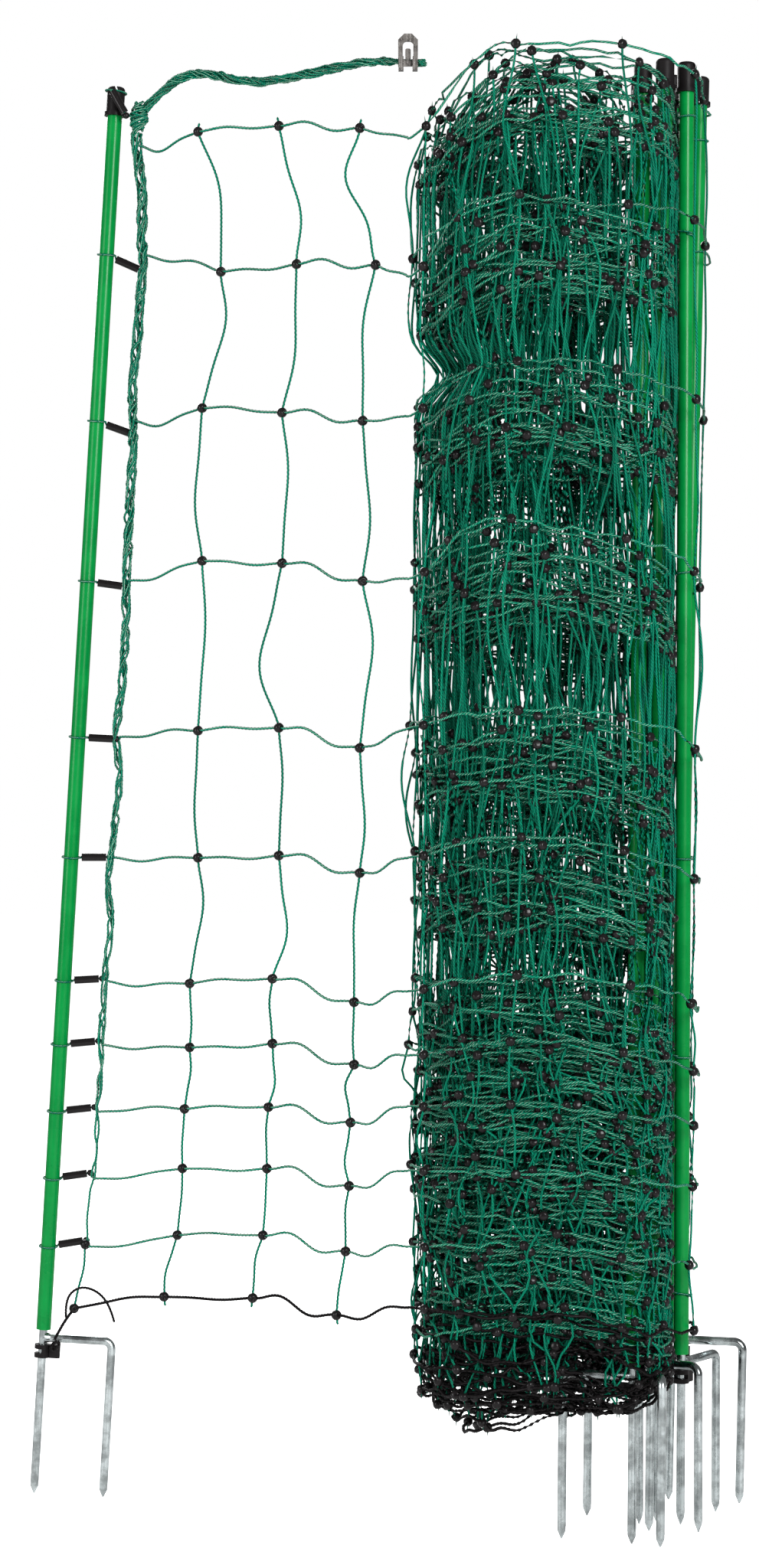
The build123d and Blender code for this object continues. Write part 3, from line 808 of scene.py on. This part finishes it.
def slack_line(start, end, step, bow, power, swing):
    """A straight line between two knots, its shares, and how far a bow with an S on it leaves it."""
    count = max(3, int(round(np.linalg.norm(end - start) / step)))
    t = np.linspace(0.0, 1.0, count + 1)
    bend = bow * np.sin(math.pi * t) ** power + swing * np.sin(TAU * t) * np.sin(math.pi * t)
    return start + (end - start) * t[:, None], t, bend


def wavy_span(start, end, bow, wave, step):
    """A slack row strand, bent upwards or downwards."""
    line, t, bend = slack_line(start, end, step, bow, 1.3, wave)
    line[:, 2] += bend
    line[:, 1] += 0.25 * bow * np.sin(math.pi * t)
    return line


def bowed_upright(start, end, bow, swing, step):
    """A slack upright strand, bent to one side."""
    line, _, bend = slack_line(start, end, step, bow, 1.2, swing)
    line[:, 0] += bend
    line[:, 1] -= 0.5 * bend
    return line


def row_spans(row, step):
    """The slack spans of one row in the open panel, from the side rope to the third column."""
    knots = [row_start(row)] + [knot_place(row, column) for column in range(len(COLUMN_PLACES))]
    low = row / BOTTOM_ROW
    bows = (FIRST_SPAN_BOWS[row], 1.5 - 3.0 * (row % 2), 1.0)
    waves = (-4.0 + 3.0 * low, 2.0 - 1.0 * low, 5.0 + 3.0 * low)
    return [wavy_span(a, b, bow, wave, step) for a, b, bow, wave in zip(knots, knots[1:], bows, waves)]


def roll_entry(row):
    """Where a row passes the upright line about which the open panel swings."""
    height, _, _, _, rise = NET_ROWS[row]
    return np.array((PANEL_HINGE[0], PANEL_HINGE[1], height + rise))


# ---- the roll ---------------------------------------------------------------------
def outline(table, angle, top_share):
    """Radius of an outline at each angle, eased from one listed place to the next."""
    angles = np.array([row[0] for row in table], float)
    first = angles[0]
    angles = np.append(angles, first + 360.0)
    radii = np.array([row[1] for row in table] + [table[0][1]], float)
    extras = np.array([row[2] for row in table] + [table[0][2]], float)
    wrapped = (angle - first) % 360.0 + first
    place = np.clip(np.searchsorted(angles, wrapped, side="right") - 1, 0, len(angles) - 2)
    t = (wrapped - angles[place]) / (angles[place + 1] - angles[place])
    t = 0.5 * t + 0.5 * t * t * (3 - 2 * t)
    radius = radii[place] + (radii[place + 1] - radii[place]) * t
    return radius + (extras[place] + (extras[place + 1] - extras[place]) * t) * top_share


def eased(value):
    value = np.clip(value, 0.0, 1.0)
    return value * value * (3 - 2 * value)


def core_share(turn):
    return eased((turn - WIDE_TURNS + 0.2) / 0.5)


def roll_radius(angle, turn, top_share):
    """Radius of the roll's winding: one outer turn, the turns round the posts, then the core."""
    outer = outline(OUTER_OUTLINE, angle, top_share)
    wide = outline(WIDE_OUTLINE, angle, top_share)
    depth = np.clip((turn - WIDE_TURNS) / (ROLL_TURNS - WIDE_TURNS), 0.0, 1.0) ** 0.9
    across = CORE_OUTER[0] + (CORE_INNER[0] - CORE_OUTER[0]) * depth
    deep = CORE_OUTER[1] + (CORE_INNER[1] - CORE_OUTER[1]) * depth
    radians = np.radians(angle)
    core = across * deep / np.hypot(deep * np.cos(radians), across * np.sin(radians))
    post_side = 1.0 - POST_SIDE_EASING * np.clip(np.cos(radians), 0.0, 1.0)
    wide = wide - WIDE_TIGHTENING * post_side * np.clip(turn, 0.0, WIDE_TURNS)
    shape = outer + (wide - outer) * eased((turn - 0.92) / 0.16)
    return shape + (core - shape) * core_share(turn)


class Roll:
    """The wound net as a surface: how far along the net, and which row, gives a place."""

    def __init__(self):
        step = 4.0
        angle = ROLL_START
        places = [0.0]
        angles = [angle]
        while angle < ROLL_START + 360.0 * ROLL_TURNS:
            turn = (angle - ROLL_START) / 360.0
            angle += math.degrees(step / float(roll_radius(angle, turn, 0.5)))
            places.append(places[-1] + step)
            angles.append(angle)
        self.places = np.array(places)
        self.angles = np.array(angles)
        self.length = places[-1]
        self.columns = int((self.length - FIRST_COLUMN) / COLUMN_SPACING)
        self.heights = np.array([row[0] + row[4] for row in NET_ROWS])
        self.lean = sine_noise(11, 7, ((260.0, 900.0), (2.2, 7.0)))
        self.fine_lean = sine_noise(12, 6, ((90.0, 260.0), (0.9, 2.4)))
        self.swell = sine_noise(13, 7, ((130.0, 420.0), (1.2, 4.0)))
        self.ripple = sine_noise(14, 6, ((110.0, 330.0), (0.8, 2.6)))
        self.telescope = sine_noise(15, 4, ((2.1, 7.5),))
        self.belly = sine_noise(16, 5, ((140.0, 500.0), (3.0, 9.0)))

    def place(self, travel, row):
        """Points of the net surface; travel is in millimetres and row runs from 0 to the last."""
        travel = np.asarray(travel, float)
        row = np.asarray(row, float)
        held = eased(travel / PANEL_HOLD)
        angle = np.interp(travel, self.places, self.angles)
        turn = (angle - ROLL_START) / 360.0
        slack = (0.35 + 0.65 * eased(turn / 1.5)) * held
        shift = slack * (LEAN * self.lean(travel, row) + FINE_LEAN * self.fine_lean(travel, row))
        angle = angle + np.degrees(shift / roll_radius(angle, turn, 0.5))
        radians = np.radians(angle)
        right, back = np.cos(radians), np.sin(radians)
        height = self.height(travel, row, angle, turn, right, back, held)
        radius = self.reach(travel, row, angle, turn, right, height, held)
        left = np.clip(-right, 0.0, 1.0)
        dome = eased((height - DOME_START) / DOME_SPREAD) * (1.0 - 0.8 * np.clip(right, 0.0, 1.0))
        radius = radius * (1.0 - dome * held * (0.1 + 0.14 * left))
        waist = held * np.exp(-((height - PINCH_HEIGHT) / PINCH_SPREAD) ** 2) * left**1.3
        middle = ROLL_MIDDLE[0] + CORE_SHIFT * core_share(turn)
        x = middle + radius * right + waist * PINCH_DEPTH * (0.6 + 0.4 * radius / 98.0)
        y = ROLL_MIDDLE[1] + radius * back
        return np.stack(np.broadcast_arrays(x, y, height), axis=-1)

    def height(self, travel, row, angle, turn, right, back, held):
        """Height of the net: its row's, lifted round the outside and dropped further in."""
        rows = np.arange(ROWS)
        height = np.interp(row, rows, self.heights)
        lift = np.interp(row, rows, FRONT_LIFTS) * outline(FRONT_SHARE, angle, 0.0)
        lift = lift + np.interp(row, rows, RIGHT_LIFTS) * outline(RIGHT_SHARE, angle, 0.0)
        share = np.clip(0.46 + 0.42 * self.telescope(turn), 0.0, 1.0) * eased((turn - 0.5) / 3.0)
        drop = MOST_DROP * share
        low_left = np.clip(-right, -0.4, 1.0) + 0.3 * np.clip(-back, 0.0, 1.0)
        smile = SMILE * share * eased((row - 8.0) / 3.0) * low_left
        height = height + held * (lift - drop - smile)
        stir = 0.5 + 0.9 * eased((turn - 0.4) / 2.5)
        ripple = RIPPLE * self.ripple(travel, row) + FINE_RIPPLE * self.fine_lean(travel + 500.0, row)
        height = height + held * stir * ripple
        gather = eased((row - 9.5) / 1.5) * np.exp(-((right - 1.0) / 0.18) ** 2) * eased(turn - 0.6)
        return height + gather * 0.6 * (CLIP_HEIGHT - height)

    def reach(self, travel, row, angle, turn, right, height, held):
        """Radius of the net: the winding's, swollen between the rows and calmer at the posts."""
        outer = 1.0 - eased((turn - 1.0) / 4.0)
        radius = roll_radius(angle, turn, np.clip((height - 150.0) / 1150.0, 0.0, 1.0))
        near_posts = np.exp(-((right - 1.0) / 0.25) ** 2) * (1.0 - eased((turn - 5.0) / 2.0))
        calm = 1.0 - 0.75 * near_posts
        between = np.sin(math.pi * row) ** 2
        bulge = between * (BULGE + SLACK_BULGE * np.clip(self.belly(travel, row), -0.4, 1.0)) * (0.5 + outer)
        return radius + held * calm * ((SWELL + OUTER_SWELL * outer) * self.swell(travel, row) + bulge)

    def column_travel(self, column):
        return FIRST_COLUMN + COLUMN_SPACING * column


def roll_rows(roll, rows, radius, step, start, end):
    """The level strands of some rows between two travels, one strand for each turn or so."""
    lines = []
    source = np.random.default_rng(31)
    for row in rows:
        wobble = sine_noise(200 + row, 5, ((22.0, 60.0),))
        begin = start
        while begin < end - 1.0:
            stop = min(begin + STRAND_PIECE, end)
            travel = np.linspace(begin, stop, max(3, int((stop - begin) / step)))
            points = roll.place(travel, float(row))
            near = np.abs(((travel - FIRST_COLUMN) / COLUMN_SPACING) % 1.0 - 0.5) * 2.0
            loose = (1.0 - near**3) * eased(travel / PANEL_HOLD)
            points[:, 2] += 2.6 * loose * wobble(travel)
            points[:, 1] += 1.3 * loose * wobble(travel + 777.0)
            lines.append(Line(points, radius, float(source.uniform(0.1, 0.95)), begin))
            begin = stop
    return lines


def roll_uprights(roll, columns, radius, step, source):
    """The upright strands of the roll, with a short cut end beyond the top and bottom knots."""
    lines = []
    levels = np.linspace(roll.heights[0], roll.heights[-1], int(NET_HEIGHT / step))
    rows = np.interp(-levels, -roll.heights, np.arange(ROWS))
    for column in columns:
        travel = roll.column_travel(column)
        bows = source.normal(0.0, 4.0, ROWS)[np.floor(rows).astype(int)]
        points = roll.place(travel + bows * np.sin(math.pi * (rows % 1.0)) ** 2, rows)
        top, bottom = (
            (source.uniform(-2.0, 2.0), source.uniform(-2.0, 2.0), side * source.uniform(low, high))
            for side, low, high in ((1, 6.0, 10.0), (-1, 7.0, 12.0)))
        points = np.vstack((points[0] + top, points, points[-1] + bottom))
        lines.append(Line(points, radius, float(source.uniform(0.05, 1.0)), float(source.uniform(0, 50))))
    return lines


# ---- operators --------------------------------------------------------------------
def finish_piece(piece, body, replaced=()):
    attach(piece, body)
    if replaced:
        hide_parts(*replaced)
    return piece


def strand_piece(name, lines, finish, body, replaced=(), sides=6, lobe=0.1):
    return finish_piece(make_strands(name, lines, finish, sides, lobe), body, replaced)


class FENCE_OT_finishes(bpy.types.Operator):
    """Makes the finishes and gives the posts, clips and connector theirs"""
    bl_idname = "fence.finishes"
    bl_label = "Finishes"

    def execute(self, context):
        make_finishes(context.scene.fence_sizes, context.scene.fence_colours)
        chosen = {
            "post_plastic": "tube", "black_plastic": "black", "bead_plastic": "bead",
            "spike_steel": "zinc", "connector_steel": "stainless", "green_cord": "conductor",
            "bottom_cord": "black_cord",
        }
        slots = {row["node"]: row["material_slot"] for row in frame["record"]["subparts"]}
        for name, node in frame["nodes"].items():
            node.data.materials.clear()
            node.data.materials.append(FINISHES[chosen[slots[name]]])
        return {"FINISHED"}


class FENCE_OT_lead(bpy.types.Operator):
    """Twists the connection lead from the net's own conductors, with a frayed end"""
    bl_idname = "fence.lead"
    bl_label = "Connection lead"

    def execute(self, context):
        radius = context.scene.fence_sizes.conductor / MM / 2
        path = evenly(spline_points(LEAD_ROUTE, "lead_route"), ROPE_STEP)
        share = np.linspace(0.0, 1.0, len(path))
        grip = 1.0 - LEAD_GRIP * np.exp(-((share - LEAD_GRIP_PLACE) / LEAD_GRIP_SPREAD) ** 2)
        lines = []
        for number in range(LEAD_STRANDS):
            reach = LEAD_REACH * grip * (1.0 + 0.18 * math.sin(2.3 * number))
            strand = wound_round(path, reach, TAU * number / LEAD_STRANDS, LEAD_LAY, 0.9, 40 + number)
            lines.append(Line(strand, radius * 0.95, 0.2 + 0.1 * number, 7.0 * number))
        for number in range(LEAD_CORE_STRANDS):
            start = TAU * number / LEAD_CORE_STRANDS
            strand = wound_round(path, LEAD_CORE_REACH * grip, start, LEAD_CORE_LAY, 0.6, 60 + number)
            lines.append(Line(strand, radius * 0.95, 0.3, 5.0 * number))
        piece = strand_piece("connection_lead_strands", lines, "conductor", "panel", ["connection_lead"])
        return {"FINISHED"}


class FENCE_OT_tail(bpy.types.Operator):
    """Makes the black cord's loose tail at the bottom corner of the net"""
    bl_idname = "fence.tail"
    bl_label = "Cord tail"

    def execute(self, context):
        path = evenly(spline_points(TAIL_ROUTE, "tail_route"), 1.0)
        lines = [
            Line(wound_round(path, TAIL_REACH, TAU * number / 3, TAIL_LAY), TAIL_RADIUS, 0.35 + 0.1 * number)
            for number in range(3)]
        piece = strand_piece("black_cord_tail", lines, "black_cord", "panel", ["tail_cord"], lobe=0.0)
        return {"FINISHED"}


class FENCE_OT_panel(bpy.types.Operator):
    """Builds the open panel: its conductors, uprights, black bottom cord and moulded knots"""
    bl_idname = "fence.panel"
    bl_label = "Open panel"

    def execute(self, context):
        sizes = context.scene.fence_sizes
        source = np.random.default_rng(5)
        conductor = sizes.conductor / MM / 2
        upright = sizes.upright / MM / 2
        lines = []
        for row in range(BOTTOM_ROW):
            for number, span in enumerate(row_spans(row, PANEL_STEP)):
                lines.append(Line(span, conductor, float(source.uniform(0.35, 0.75)), 77.0 * number))
        strand_piece("panel_conductor_strands", lines, "conductor", "panel", ["panel_conductors"], 9, 0.16)

        lines = []
        for column, bows in enumerate(UPRIGHT_BOWS):
            for row in range(BOTTOM_ROW):
                start = knot_place(row, column)
                end = knot_place(row + 1, column)
                swing = 0.35 * bows[row] * (1 if (row + column) % 2 else -1) if row else TOP_SWINGS[column]
                line = bowed_upright(start, end, bows[row], swing, PANEL_STEP)
                lines.append(Line(line, upright, float(source.uniform(0.3, 0.8)), 90.0 * row))
            for row, rise in ((0, 8.5), (BOTTOM_ROW, -9.0)):
                knot = knot_place(row, column)
                end = knot + (1.2 * (-1) ** column, 0.0, rise)
                lines.append(Line(smooth_path((knot, (knot + end) / 2, end), PANEL_STEP), upright))
        edge_ends = np.array(EDGE_BEAD_UPPER), np.array(EDGE_BEAD_LOWER)
        edge = bowed_upright(*edge_ends, 2.0, 1.0, PANEL_STEP)
        lines.append(Line(edge, upright))
        strand_piece("panel_upright_strands", lines, "upright", "panel", ["panel_verticals"], 9, 0.16)

        lines = [line for span in row_spans(BOTTOM_ROW, BLACK_STEP) for line in black_plies(span)]
        strand_piece("panel_bottom_strands", lines, "black_cord", "panel", ["panel_bottom_cord"], lobe=0.0)

        places = [knot_place(row, column) for row in range(ROWS) for column in range(len(COLUMN_PLACES))]
        places += edge_ends
        facings = [(0.47 + source.uniform(-0.3, 0.3), -0.88, source.uniform(-0.3, 0.3)) for _ in places]
        radii = [sizes.bead / MM / 2] * len(places)
        make_beads("panel_knots", places, facings, radii, True, "panel", ["panel_beads"])
        return {"FINISHED"}


class FENCE_OT_ties(bpy.types.Operator):
    """Builds the twisted side rope, its knot, the loops round the end post and the corner cord"""
    bl_idname = "fence.ties"
    bl_label = "Ties and side rope"

    def execute(self, context):
        conductor = context.scene.fence_sizes.conductor / MM / 2
        self.side_rope(conductor)
        self.knot(conductor)
        self.loops(conductor)
        self.corner()
        return {"FINISHED"}

    def side_rope(self, conductor):
        """Each row's conductor turns up the net's edge, so the rope thickens towards the top."""
        heights = [TOP_TIE, *TIE_HEIGHTS]
        sway = sine_noise(71, 3, ((90.0, 190.0),))
        lines = []
        for number, height in enumerate(heights):
            levels = np.arange(height, ROPE_TOP, ROPE_STEP)
            spine = np.array([rope_place(z) for z in levels])
            spine[:, 0] += 2.2 * sway(levels)
            spine[:, 1] += 1.6 * sway(levels + 400.0)
            strands = np.array([sum(1 for other in heights if other <= z) for z in levels])
            reach = 1.3 * np.sqrt(strands - 0.6)
            line = wound_round(spine, reach, TAU * number / 2.7, 70.0 + 4.0 * (number % 4), 1.0, 80 + number)
            lines.append(Line(line, conductor, 0.25 + 0.06 * number, 13.0 * number))
        strand_piece("side_rope_strands", lines, "conductor", "panel", ["side_rope"])

    def knot(self, conductor):
        """The conductors' ends, wrapped and pulled tight at the top of the side rope."""
        t = np.linspace(0.0, 1.0, 90)
        lines = []
        for number in range(9):
            turns = 1.3 + 0.2 * (number % 3)
            angle = TAU * (turns * t + number / 9)
            rise = -13.0 + 26.0 * t + 2.5 * np.sin(TAU * t + number)
            reach = 3.2 + 4.6 * np.sin(math.pi * t) ** 0.8 - 0.5 * (number % 2)
            x = KNOT_CENTRE[0] + 0.06 * rise + reach * np.cos(angle)
            y = KNOT_CENTRE[1] + reach * np.sin(angle)
            path = np.stack((x, y, KNOT_CENTRE[2] + rise), axis=1)
            lines.append(Line(path, conductor, 0.3 + 0.05 * number))
        for height, tilt in ((-5.0, 0.35), (0.0, -0.3), (4.5, 0.25)):
            angle = TAU * 1.06 * t
            x = KNOT_CENTRE[0] + 8.0 * np.cos(angle)
            y = KNOT_CENTRE[1] + 8.0 * np.sin(angle)
            z = KNOT_CENTRE[2] + height + 8.0 * tilt * np.cos(angle) + 2.0 * t
            lines.append(Line(np.stack((x, y, z), axis=1), conductor, 0.6))
        strand_piece("side_rope_knot_strands", lines, "conductor", "panel", ["side_rope_knot"])

    def loops(self, conductor):
        """Lassos of cord round the end post, each running out through its black sleeve."""
        tip = np.array(END_POST_TIP)
        axis = np.array(END_POST_AXIS)
        lines = []
        beads = []
        facings = []
        for number, (height, slope) in enumerate(zip(TIE_HEIGHTS, TIE_SLOPES)):
            centre = tip + axis * ((height - tip[2]) / axis[2])
            turn = math.radians(slope)
            out = np.array((math.cos(turn), 0.0, math.sin(turn)))
            angle = np.linspace(0.25, TAU - 0.25, 34)
            ring = np.stack((LOOP_REACH * np.cos(angle), LOOP_REACH * np.sin(angle), np.zeros(34)), axis=1)
            ring[:, 2] = -0.06 * ring[:, 0] + 0.9 * np.sin(angle)
            start = centre + out * (SLEEVE_START + SLEEVE_LENGTH + 2.0)
            mouth = centre + out * (SLEEVE_START - 0.5)
            half_way = (start + mouth) / 2
            path = np.vstack((
                smooth_path((start, half_way + (0, 0.2, 0.2), mouth + (0, 0.5, 0.4)), LOOP_STEP),
                centre + ring,
                smooth_path((mouth - (0, 0.5, 0.4), half_way - (0, 0.2, 0.2), start), LOOP_STEP)))
            lines.append(Line(path, LOOP_CORD_RADIUS, 0.4, 9.0 * number))
            inwards = smooth_path((start, start + out * 4.0, rope_place(height)), 1.5)
            lines.append(Line(inwards, conductor, 0.5))
            beads.append(centre + out * (SLEEVE_START + SLEEVE_LENGTH + STOP_BEAD_GAP))
            facings.append(out + np.array((0.0, -0.2, 0.1)))
        top = np.array(CAP_SLEEVE_START)
        run = np.array(CAP_SLEEVE_DIRECTION)
        middle = tip + axis * ((top[2] - tip[2]) / axis[2])
        angle = np.linspace(-1.65, TAU - 1.75, 44)
        across, back = CAP_LOOP_REACH * np.cos(angle), CAP_LOOP_REACH * np.sin(angle)
        ring = np.stack((across, back, 2.2 - 1.6 * np.cos(angle)), axis=1)
        path = np.vstack((
            smooth_path((top + run * 25.0, top + run * 12.0, top - run * 0.5), LOOP_STEP),
            middle + ring,
            smooth_path((top + (-1.4, 0.0, 0.4), top + run * 12.0 + (-0.5, 0.0, 0.0)), LOOP_STEP)))
        lines.append(Line(path, LOOP_CORD_RADIUS, 0.5))
        stop = top + run * (SLEEVE_LENGTH + STOP_BEAD_GAP)
        inwards = smooth_path((top + run * 24.0, stop, stop + (5.0, 4.0, 0.0), KNOT_CENTRE), 1.5)
        lines.append(Line(inwards, conductor))
        beads.append(stop)
        facings.append(run)
        strand_piece("end_post_lassos", lines, "conductor", "panel", ["end_post_loops"])
        radii = [STOP_BEAD_RADIUS] * len(beads)
        make_beads("sleeve_stop_beads", beads, facings, radii, True, "panel", ["sleeve_beads"])

    def corner(self):
        """The black cord from the lowest knot down to the clip, with its two small knots."""
        lines = black_plies(smooth_path(CLIP_CORD_ROUTE, 1.1))
        t = np.linspace(0.0, 1.0, 120)
        x = CLIP_KNOT_CENTRE[0] + 3.6 * np.sin(2 * TAU * t + 0.5)
        y = CLIP_KNOT_CENTRE[1] + 2.4 * np.cos(3 * TAU * t)
        z = CLIP_KNOT_CENTRE[2] + 3.8 * np.cos(2 * TAU * t)
        lines.append(Line(np.stack((x, y, z), axis=1), 1.5, 0.5))
        strand_piece("corner_cord", lines, "black_cord", "panel", ["clip_cord", "clip_knot"], 7)


class FENCE_OT_joining(bpy.types.Operator):
    """Carries each row from the panel's third column onto the roll, bending at the swing line"""
    bl_idname = "fence.joining"
    bl_label = "Strands onto the roll"

    def execute(self, context):
        conductor = context.scene.fence_sizes.conductor / MM / 2
        roll = Roll()
        green = []
        for row in range(ROWS):
            start = knot_place(row, len(COLUMN_PLACES) - 1)
            middle = roll_entry(row)
            end = roll.place(np.array([FIRST_COLUMN]), float(row))[0]
            low = eased((row - 2.0) / 5.0)
            sag = wavy_span(start, middle, -1.0 - 1.0 * low, -1.0 - 4.5 * low, ROPE_STEP)
            path = smooth_path((*sag[:-1:4], middle, end), ROPE_STEP)
            if row < BOTTOM_ROW:
                green.append(Line(path, conductor, 0.5, 17.0 * row))
            else:
                black = black_plies(path)
        for name, lines, finish, slot in (
                ("joining_conductors", green, "conductor", "green_cord"),
                ("joining_bottom_cord", black, "black_cord", "bottom_cord")):
            piece = make_strands(name, lines, finish)
            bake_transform(piece)
        return {"FINISHED"}


class FENCE_OT_roll(bpy.types.Operator):
    """Winds the net into the loose roll: rows, uprights, the black cord's turns and the knots"""
    bl_idname = "fence.roll"
    bl_label = "Rolled net"

    def execute(self, context):
        sizes = context.scene.fence_sizes
        roll = Roll()
        stood_for = [name for name in frame["nodes"] if name.startswith("net_roll")]
        last = roll.column_travel(roll.columns - 1)
        conductor = sizes.conductor / MM / 2
        halves = ((range(0, 6), "roll_conductors_upper"), (range(6, BOTTOM_ROW), "roll_conductors_lower"))
        for rows, name in halves:
            lines = roll_rows(roll, rows, conductor, ROLL_STEP, FIRST_COLUMN, last)
            strand_piece(name, lines, "conductor", "roll", stood_for, 5, 0.0)
        source = np.random.default_rng(77)
        lines = roll_uprights(roll, range(roll.columns), sizes.upright / MM / 2, ROLL_STEP, source)
        for number in range(UPRIGHT_PIECES):
            some = lines[number::UPRIGHT_PIECES]
            strand_piece(f"roll_uprights_{number + 1}", some, "upright", "roll", (), 5, 0.0)
        black = sizes.bottom_cord / MM / 2 * 0.97
        lines = roll_rows(roll, (BOTTOM_ROW,), black, ROLL_BLACK_STEP, FIRST_COLUMN, last)
        strand_piece("roll_bottom_cord", lines, "black_cord", "roll", ["bottom_cord_coil"], 6, 0.12)
        self.knots(roll, sizes)
        return {"FINISHED"}

    def knots(self, roll, sizes):
        source = np.random.default_rng(91)
        travel = np.array([roll.column_travel(column) for column in range(roll.columns)])
        for name, rows in (("roll_knots_upper", range(0, 6)), ("roll_knots_lower", range(6, ROWS))):
            places = np.vstack([roll.place(travel, float(row)) for row in rows])
            middle = np.array((*ROLL_MIDDLE, 0.0))
            facings = (places - middle) * (1.0, 1.0, 0.0)
            facings /= np.linalg.norm(facings, axis=1)[:, None]
            facings = facings + source.normal(0.0, 0.35, facings.shape)
            radii = source.normal(sizes.bead / MM / 2, 0.08, len(places))
            make_beads(name, places, facings, radii, False, "roll")


class FENCE_OT_bundle_ties(bpy.types.Operator):
    """Loops that hold the bundled posts to the roll's net"""
    bl_idname = "fence.bundle_ties"
    bl_label = "Loops on the bundled posts"

    def execute(self, context):
        lines = []
        source = np.random.default_rng(17)
        for number in range(1, 7):
            low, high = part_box(f"bundle_post_{number}_tube")
            foot, head = self.tube_ends(frame["nodes"][f"bundle_post_{number}_tube"])
            for height in BUNDLE_TIE_HEIGHTS:
                share = (height * MM - low.z) / (high.z - low.z)
                centre = (foot + (head - foot) * share) / MM
                begin = source.uniform(0, TAU)
                angle = np.linspace(begin, begin + TAU * 1.12, 34)
                tilt = source.uniform(-0.25, 0.25)
                t = np.linspace(0, 1, 34)
                reach = LOOP_REACH + np.where(t > 0.85, 1.5, 0.0)
                rise = tilt * LOOP_REACH * np.cos(angle) + 1.8 * t
                path = np.stack((reach * np.cos(angle), reach * np.sin(angle), rise), axis=1)
                lines.append(Line(path + centre, LOOP_CORD_RADIUS, 0.5, 5.0 * number))
        strand_piece("bundle_loop_cords", lines, "conductor", "roll", ["bundle_loops"])
        return {"FINISHED"}

    def tube_ends(self, tube):
        """The middles of a tube's two ends."""
        places = np.array([v.co[:] for v in tube.data.vertices])
        low, high = places[:, 2].min(), places[:, 2].max()
        foot = places[places[:, 2] < low + 0.02].mean(axis=0)
        head = places[places[:, 2] > high - 0.02].mean(axis=0)
        return foot, head


class FENCE_OT_stage(bpy.types.Operator):
    """A pale floor under the fence, soft lights and the camera"""
    bl_idname = "fence.stage"
    bl_label = "Stage"

    def execute(self, context):
        scene = context.scene
        self.floor()
        self.sky(scene)
        for light in LIGHTS:
            self.soft_light(*light)
        data = bpy.data.cameras.new("camera")
        data.lens = LENS
        data.sensor_width = SENSOR
        camera = linked_object("camera", data)
        camera.location = CAMERA_PLACE
        camera.rotation_euler = (math.radians(90), 0.0, 0.0)
        scene.camera = camera
        scene.view_settings.view_transform = "Standard"
        return {"FINISHED"}

    def floor(self):
        """A wide disc that looks white to the camera and throws little light of its own."""
        material, tree, shader = start_material("pale_floor")
        seen = add_node(tree, "ShaderNodeLightPath").outputs["Is Camera Ray"]
        fill(tree, shader, {
            "Base Color": mixed(tree, noise(tree, object_place(tree), 3.0, 2.0), *FLOOR_TONES),
            "Roughness": 0.8, "Emission Color": WHITE,
            "Emission Strength": math_node(tree, "MULTIPLY_ADD", seen, 0.95, 0.1)})
        mesh = bpy.data.meshes.new("floor")
        work = bmesh.new()
        bmesh.ops.create_circle(work, cap_ends=True, radius=FLOOR_RADIUS, segments=96)
        work.to_mesh(mesh)
        work.free()
        mesh.materials.append(material)
        linked_object("floor", mesh)

    def sky(self, scene):
        """Even white light, full white where the camera sees it."""
        world = bpy.data.worlds.new("studio")
        scene.world = world
        world.use_nodes = True
        tree = world.node_tree
        background = next(n for n in tree.nodes if n.type == "BACKGROUND")
        seen = add_node(tree, "ShaderNodeLightPath").outputs["Is Camera Ray"]
        fill(tree, background, {
            "Color": WHITE, "Strength": math_node(tree, "MULTIPLY_ADD", seen, 0.78, 0.22)})

    def soft_light(self, name, place, size, power):
        data = bpy.data.lights.new(name, "AREA")
        data.size = size
        data.energy = power
        light = linked_object(name, data)
        light.location = place
        aim = Vector(LIGHT_AIM) - Vector(place)
        light.rotation_euler = aim.to_track_quat("-Z", "Y").to_euler()


OPERATORS = (
    FENCE_OT_finishes, FENCE_OT_stage, FENCE_OT_lead, FENCE_OT_tail, FENCE_OT_panel, FENCE_OT_ties,
    FENCE_OT_joining, FENCE_OT_roll, FENCE_OT_bundle_ties,
)


class FENCE_PT_panel(bpy.types.Panel):
    bl_label = "Rolled fence net"
    bl_idname = "FENCE_PT_panel"
    bl_space_type = "VIEW_3D"
    bl_region_type = "UI"
    bl_category = "Fence"

    def draw(self, context):
        for operator in OPERATORS:
            self.layout.operator(operator.bl_idname)
        for group in (context.scene.fence_sizes, context.scene.fence_colours):
            for label in group.__annotations__:
                self.layout.prop(group, label)


CLASSES = (FenceSizes, FenceColours, *OPERATORS, FENCE_PT_panel)


def register():
    for made in CLASSES:
        bpy.utils.register_class(made)
    bpy.types.Scene.fence_sizes = bpy.props.PointerProperty(type=FenceSizes)
    bpy.types.Scene.fence_colours = bpy.props.PointerProperty(type=FenceColours)


def unregister():
    del bpy.types.Scene.fence_colours
    del bpy.types.Scene.fence_sizes
    for made in reversed(CLASSES):
        bpy.utils.unregister_class(made)


def main():
    register()
    for operator in OPERATORS:
        group, name = operator.bl_idname.split(".")
        getattr(getattr(bpy.ops, group), name)()


if __name__ == "__main__":
    main()
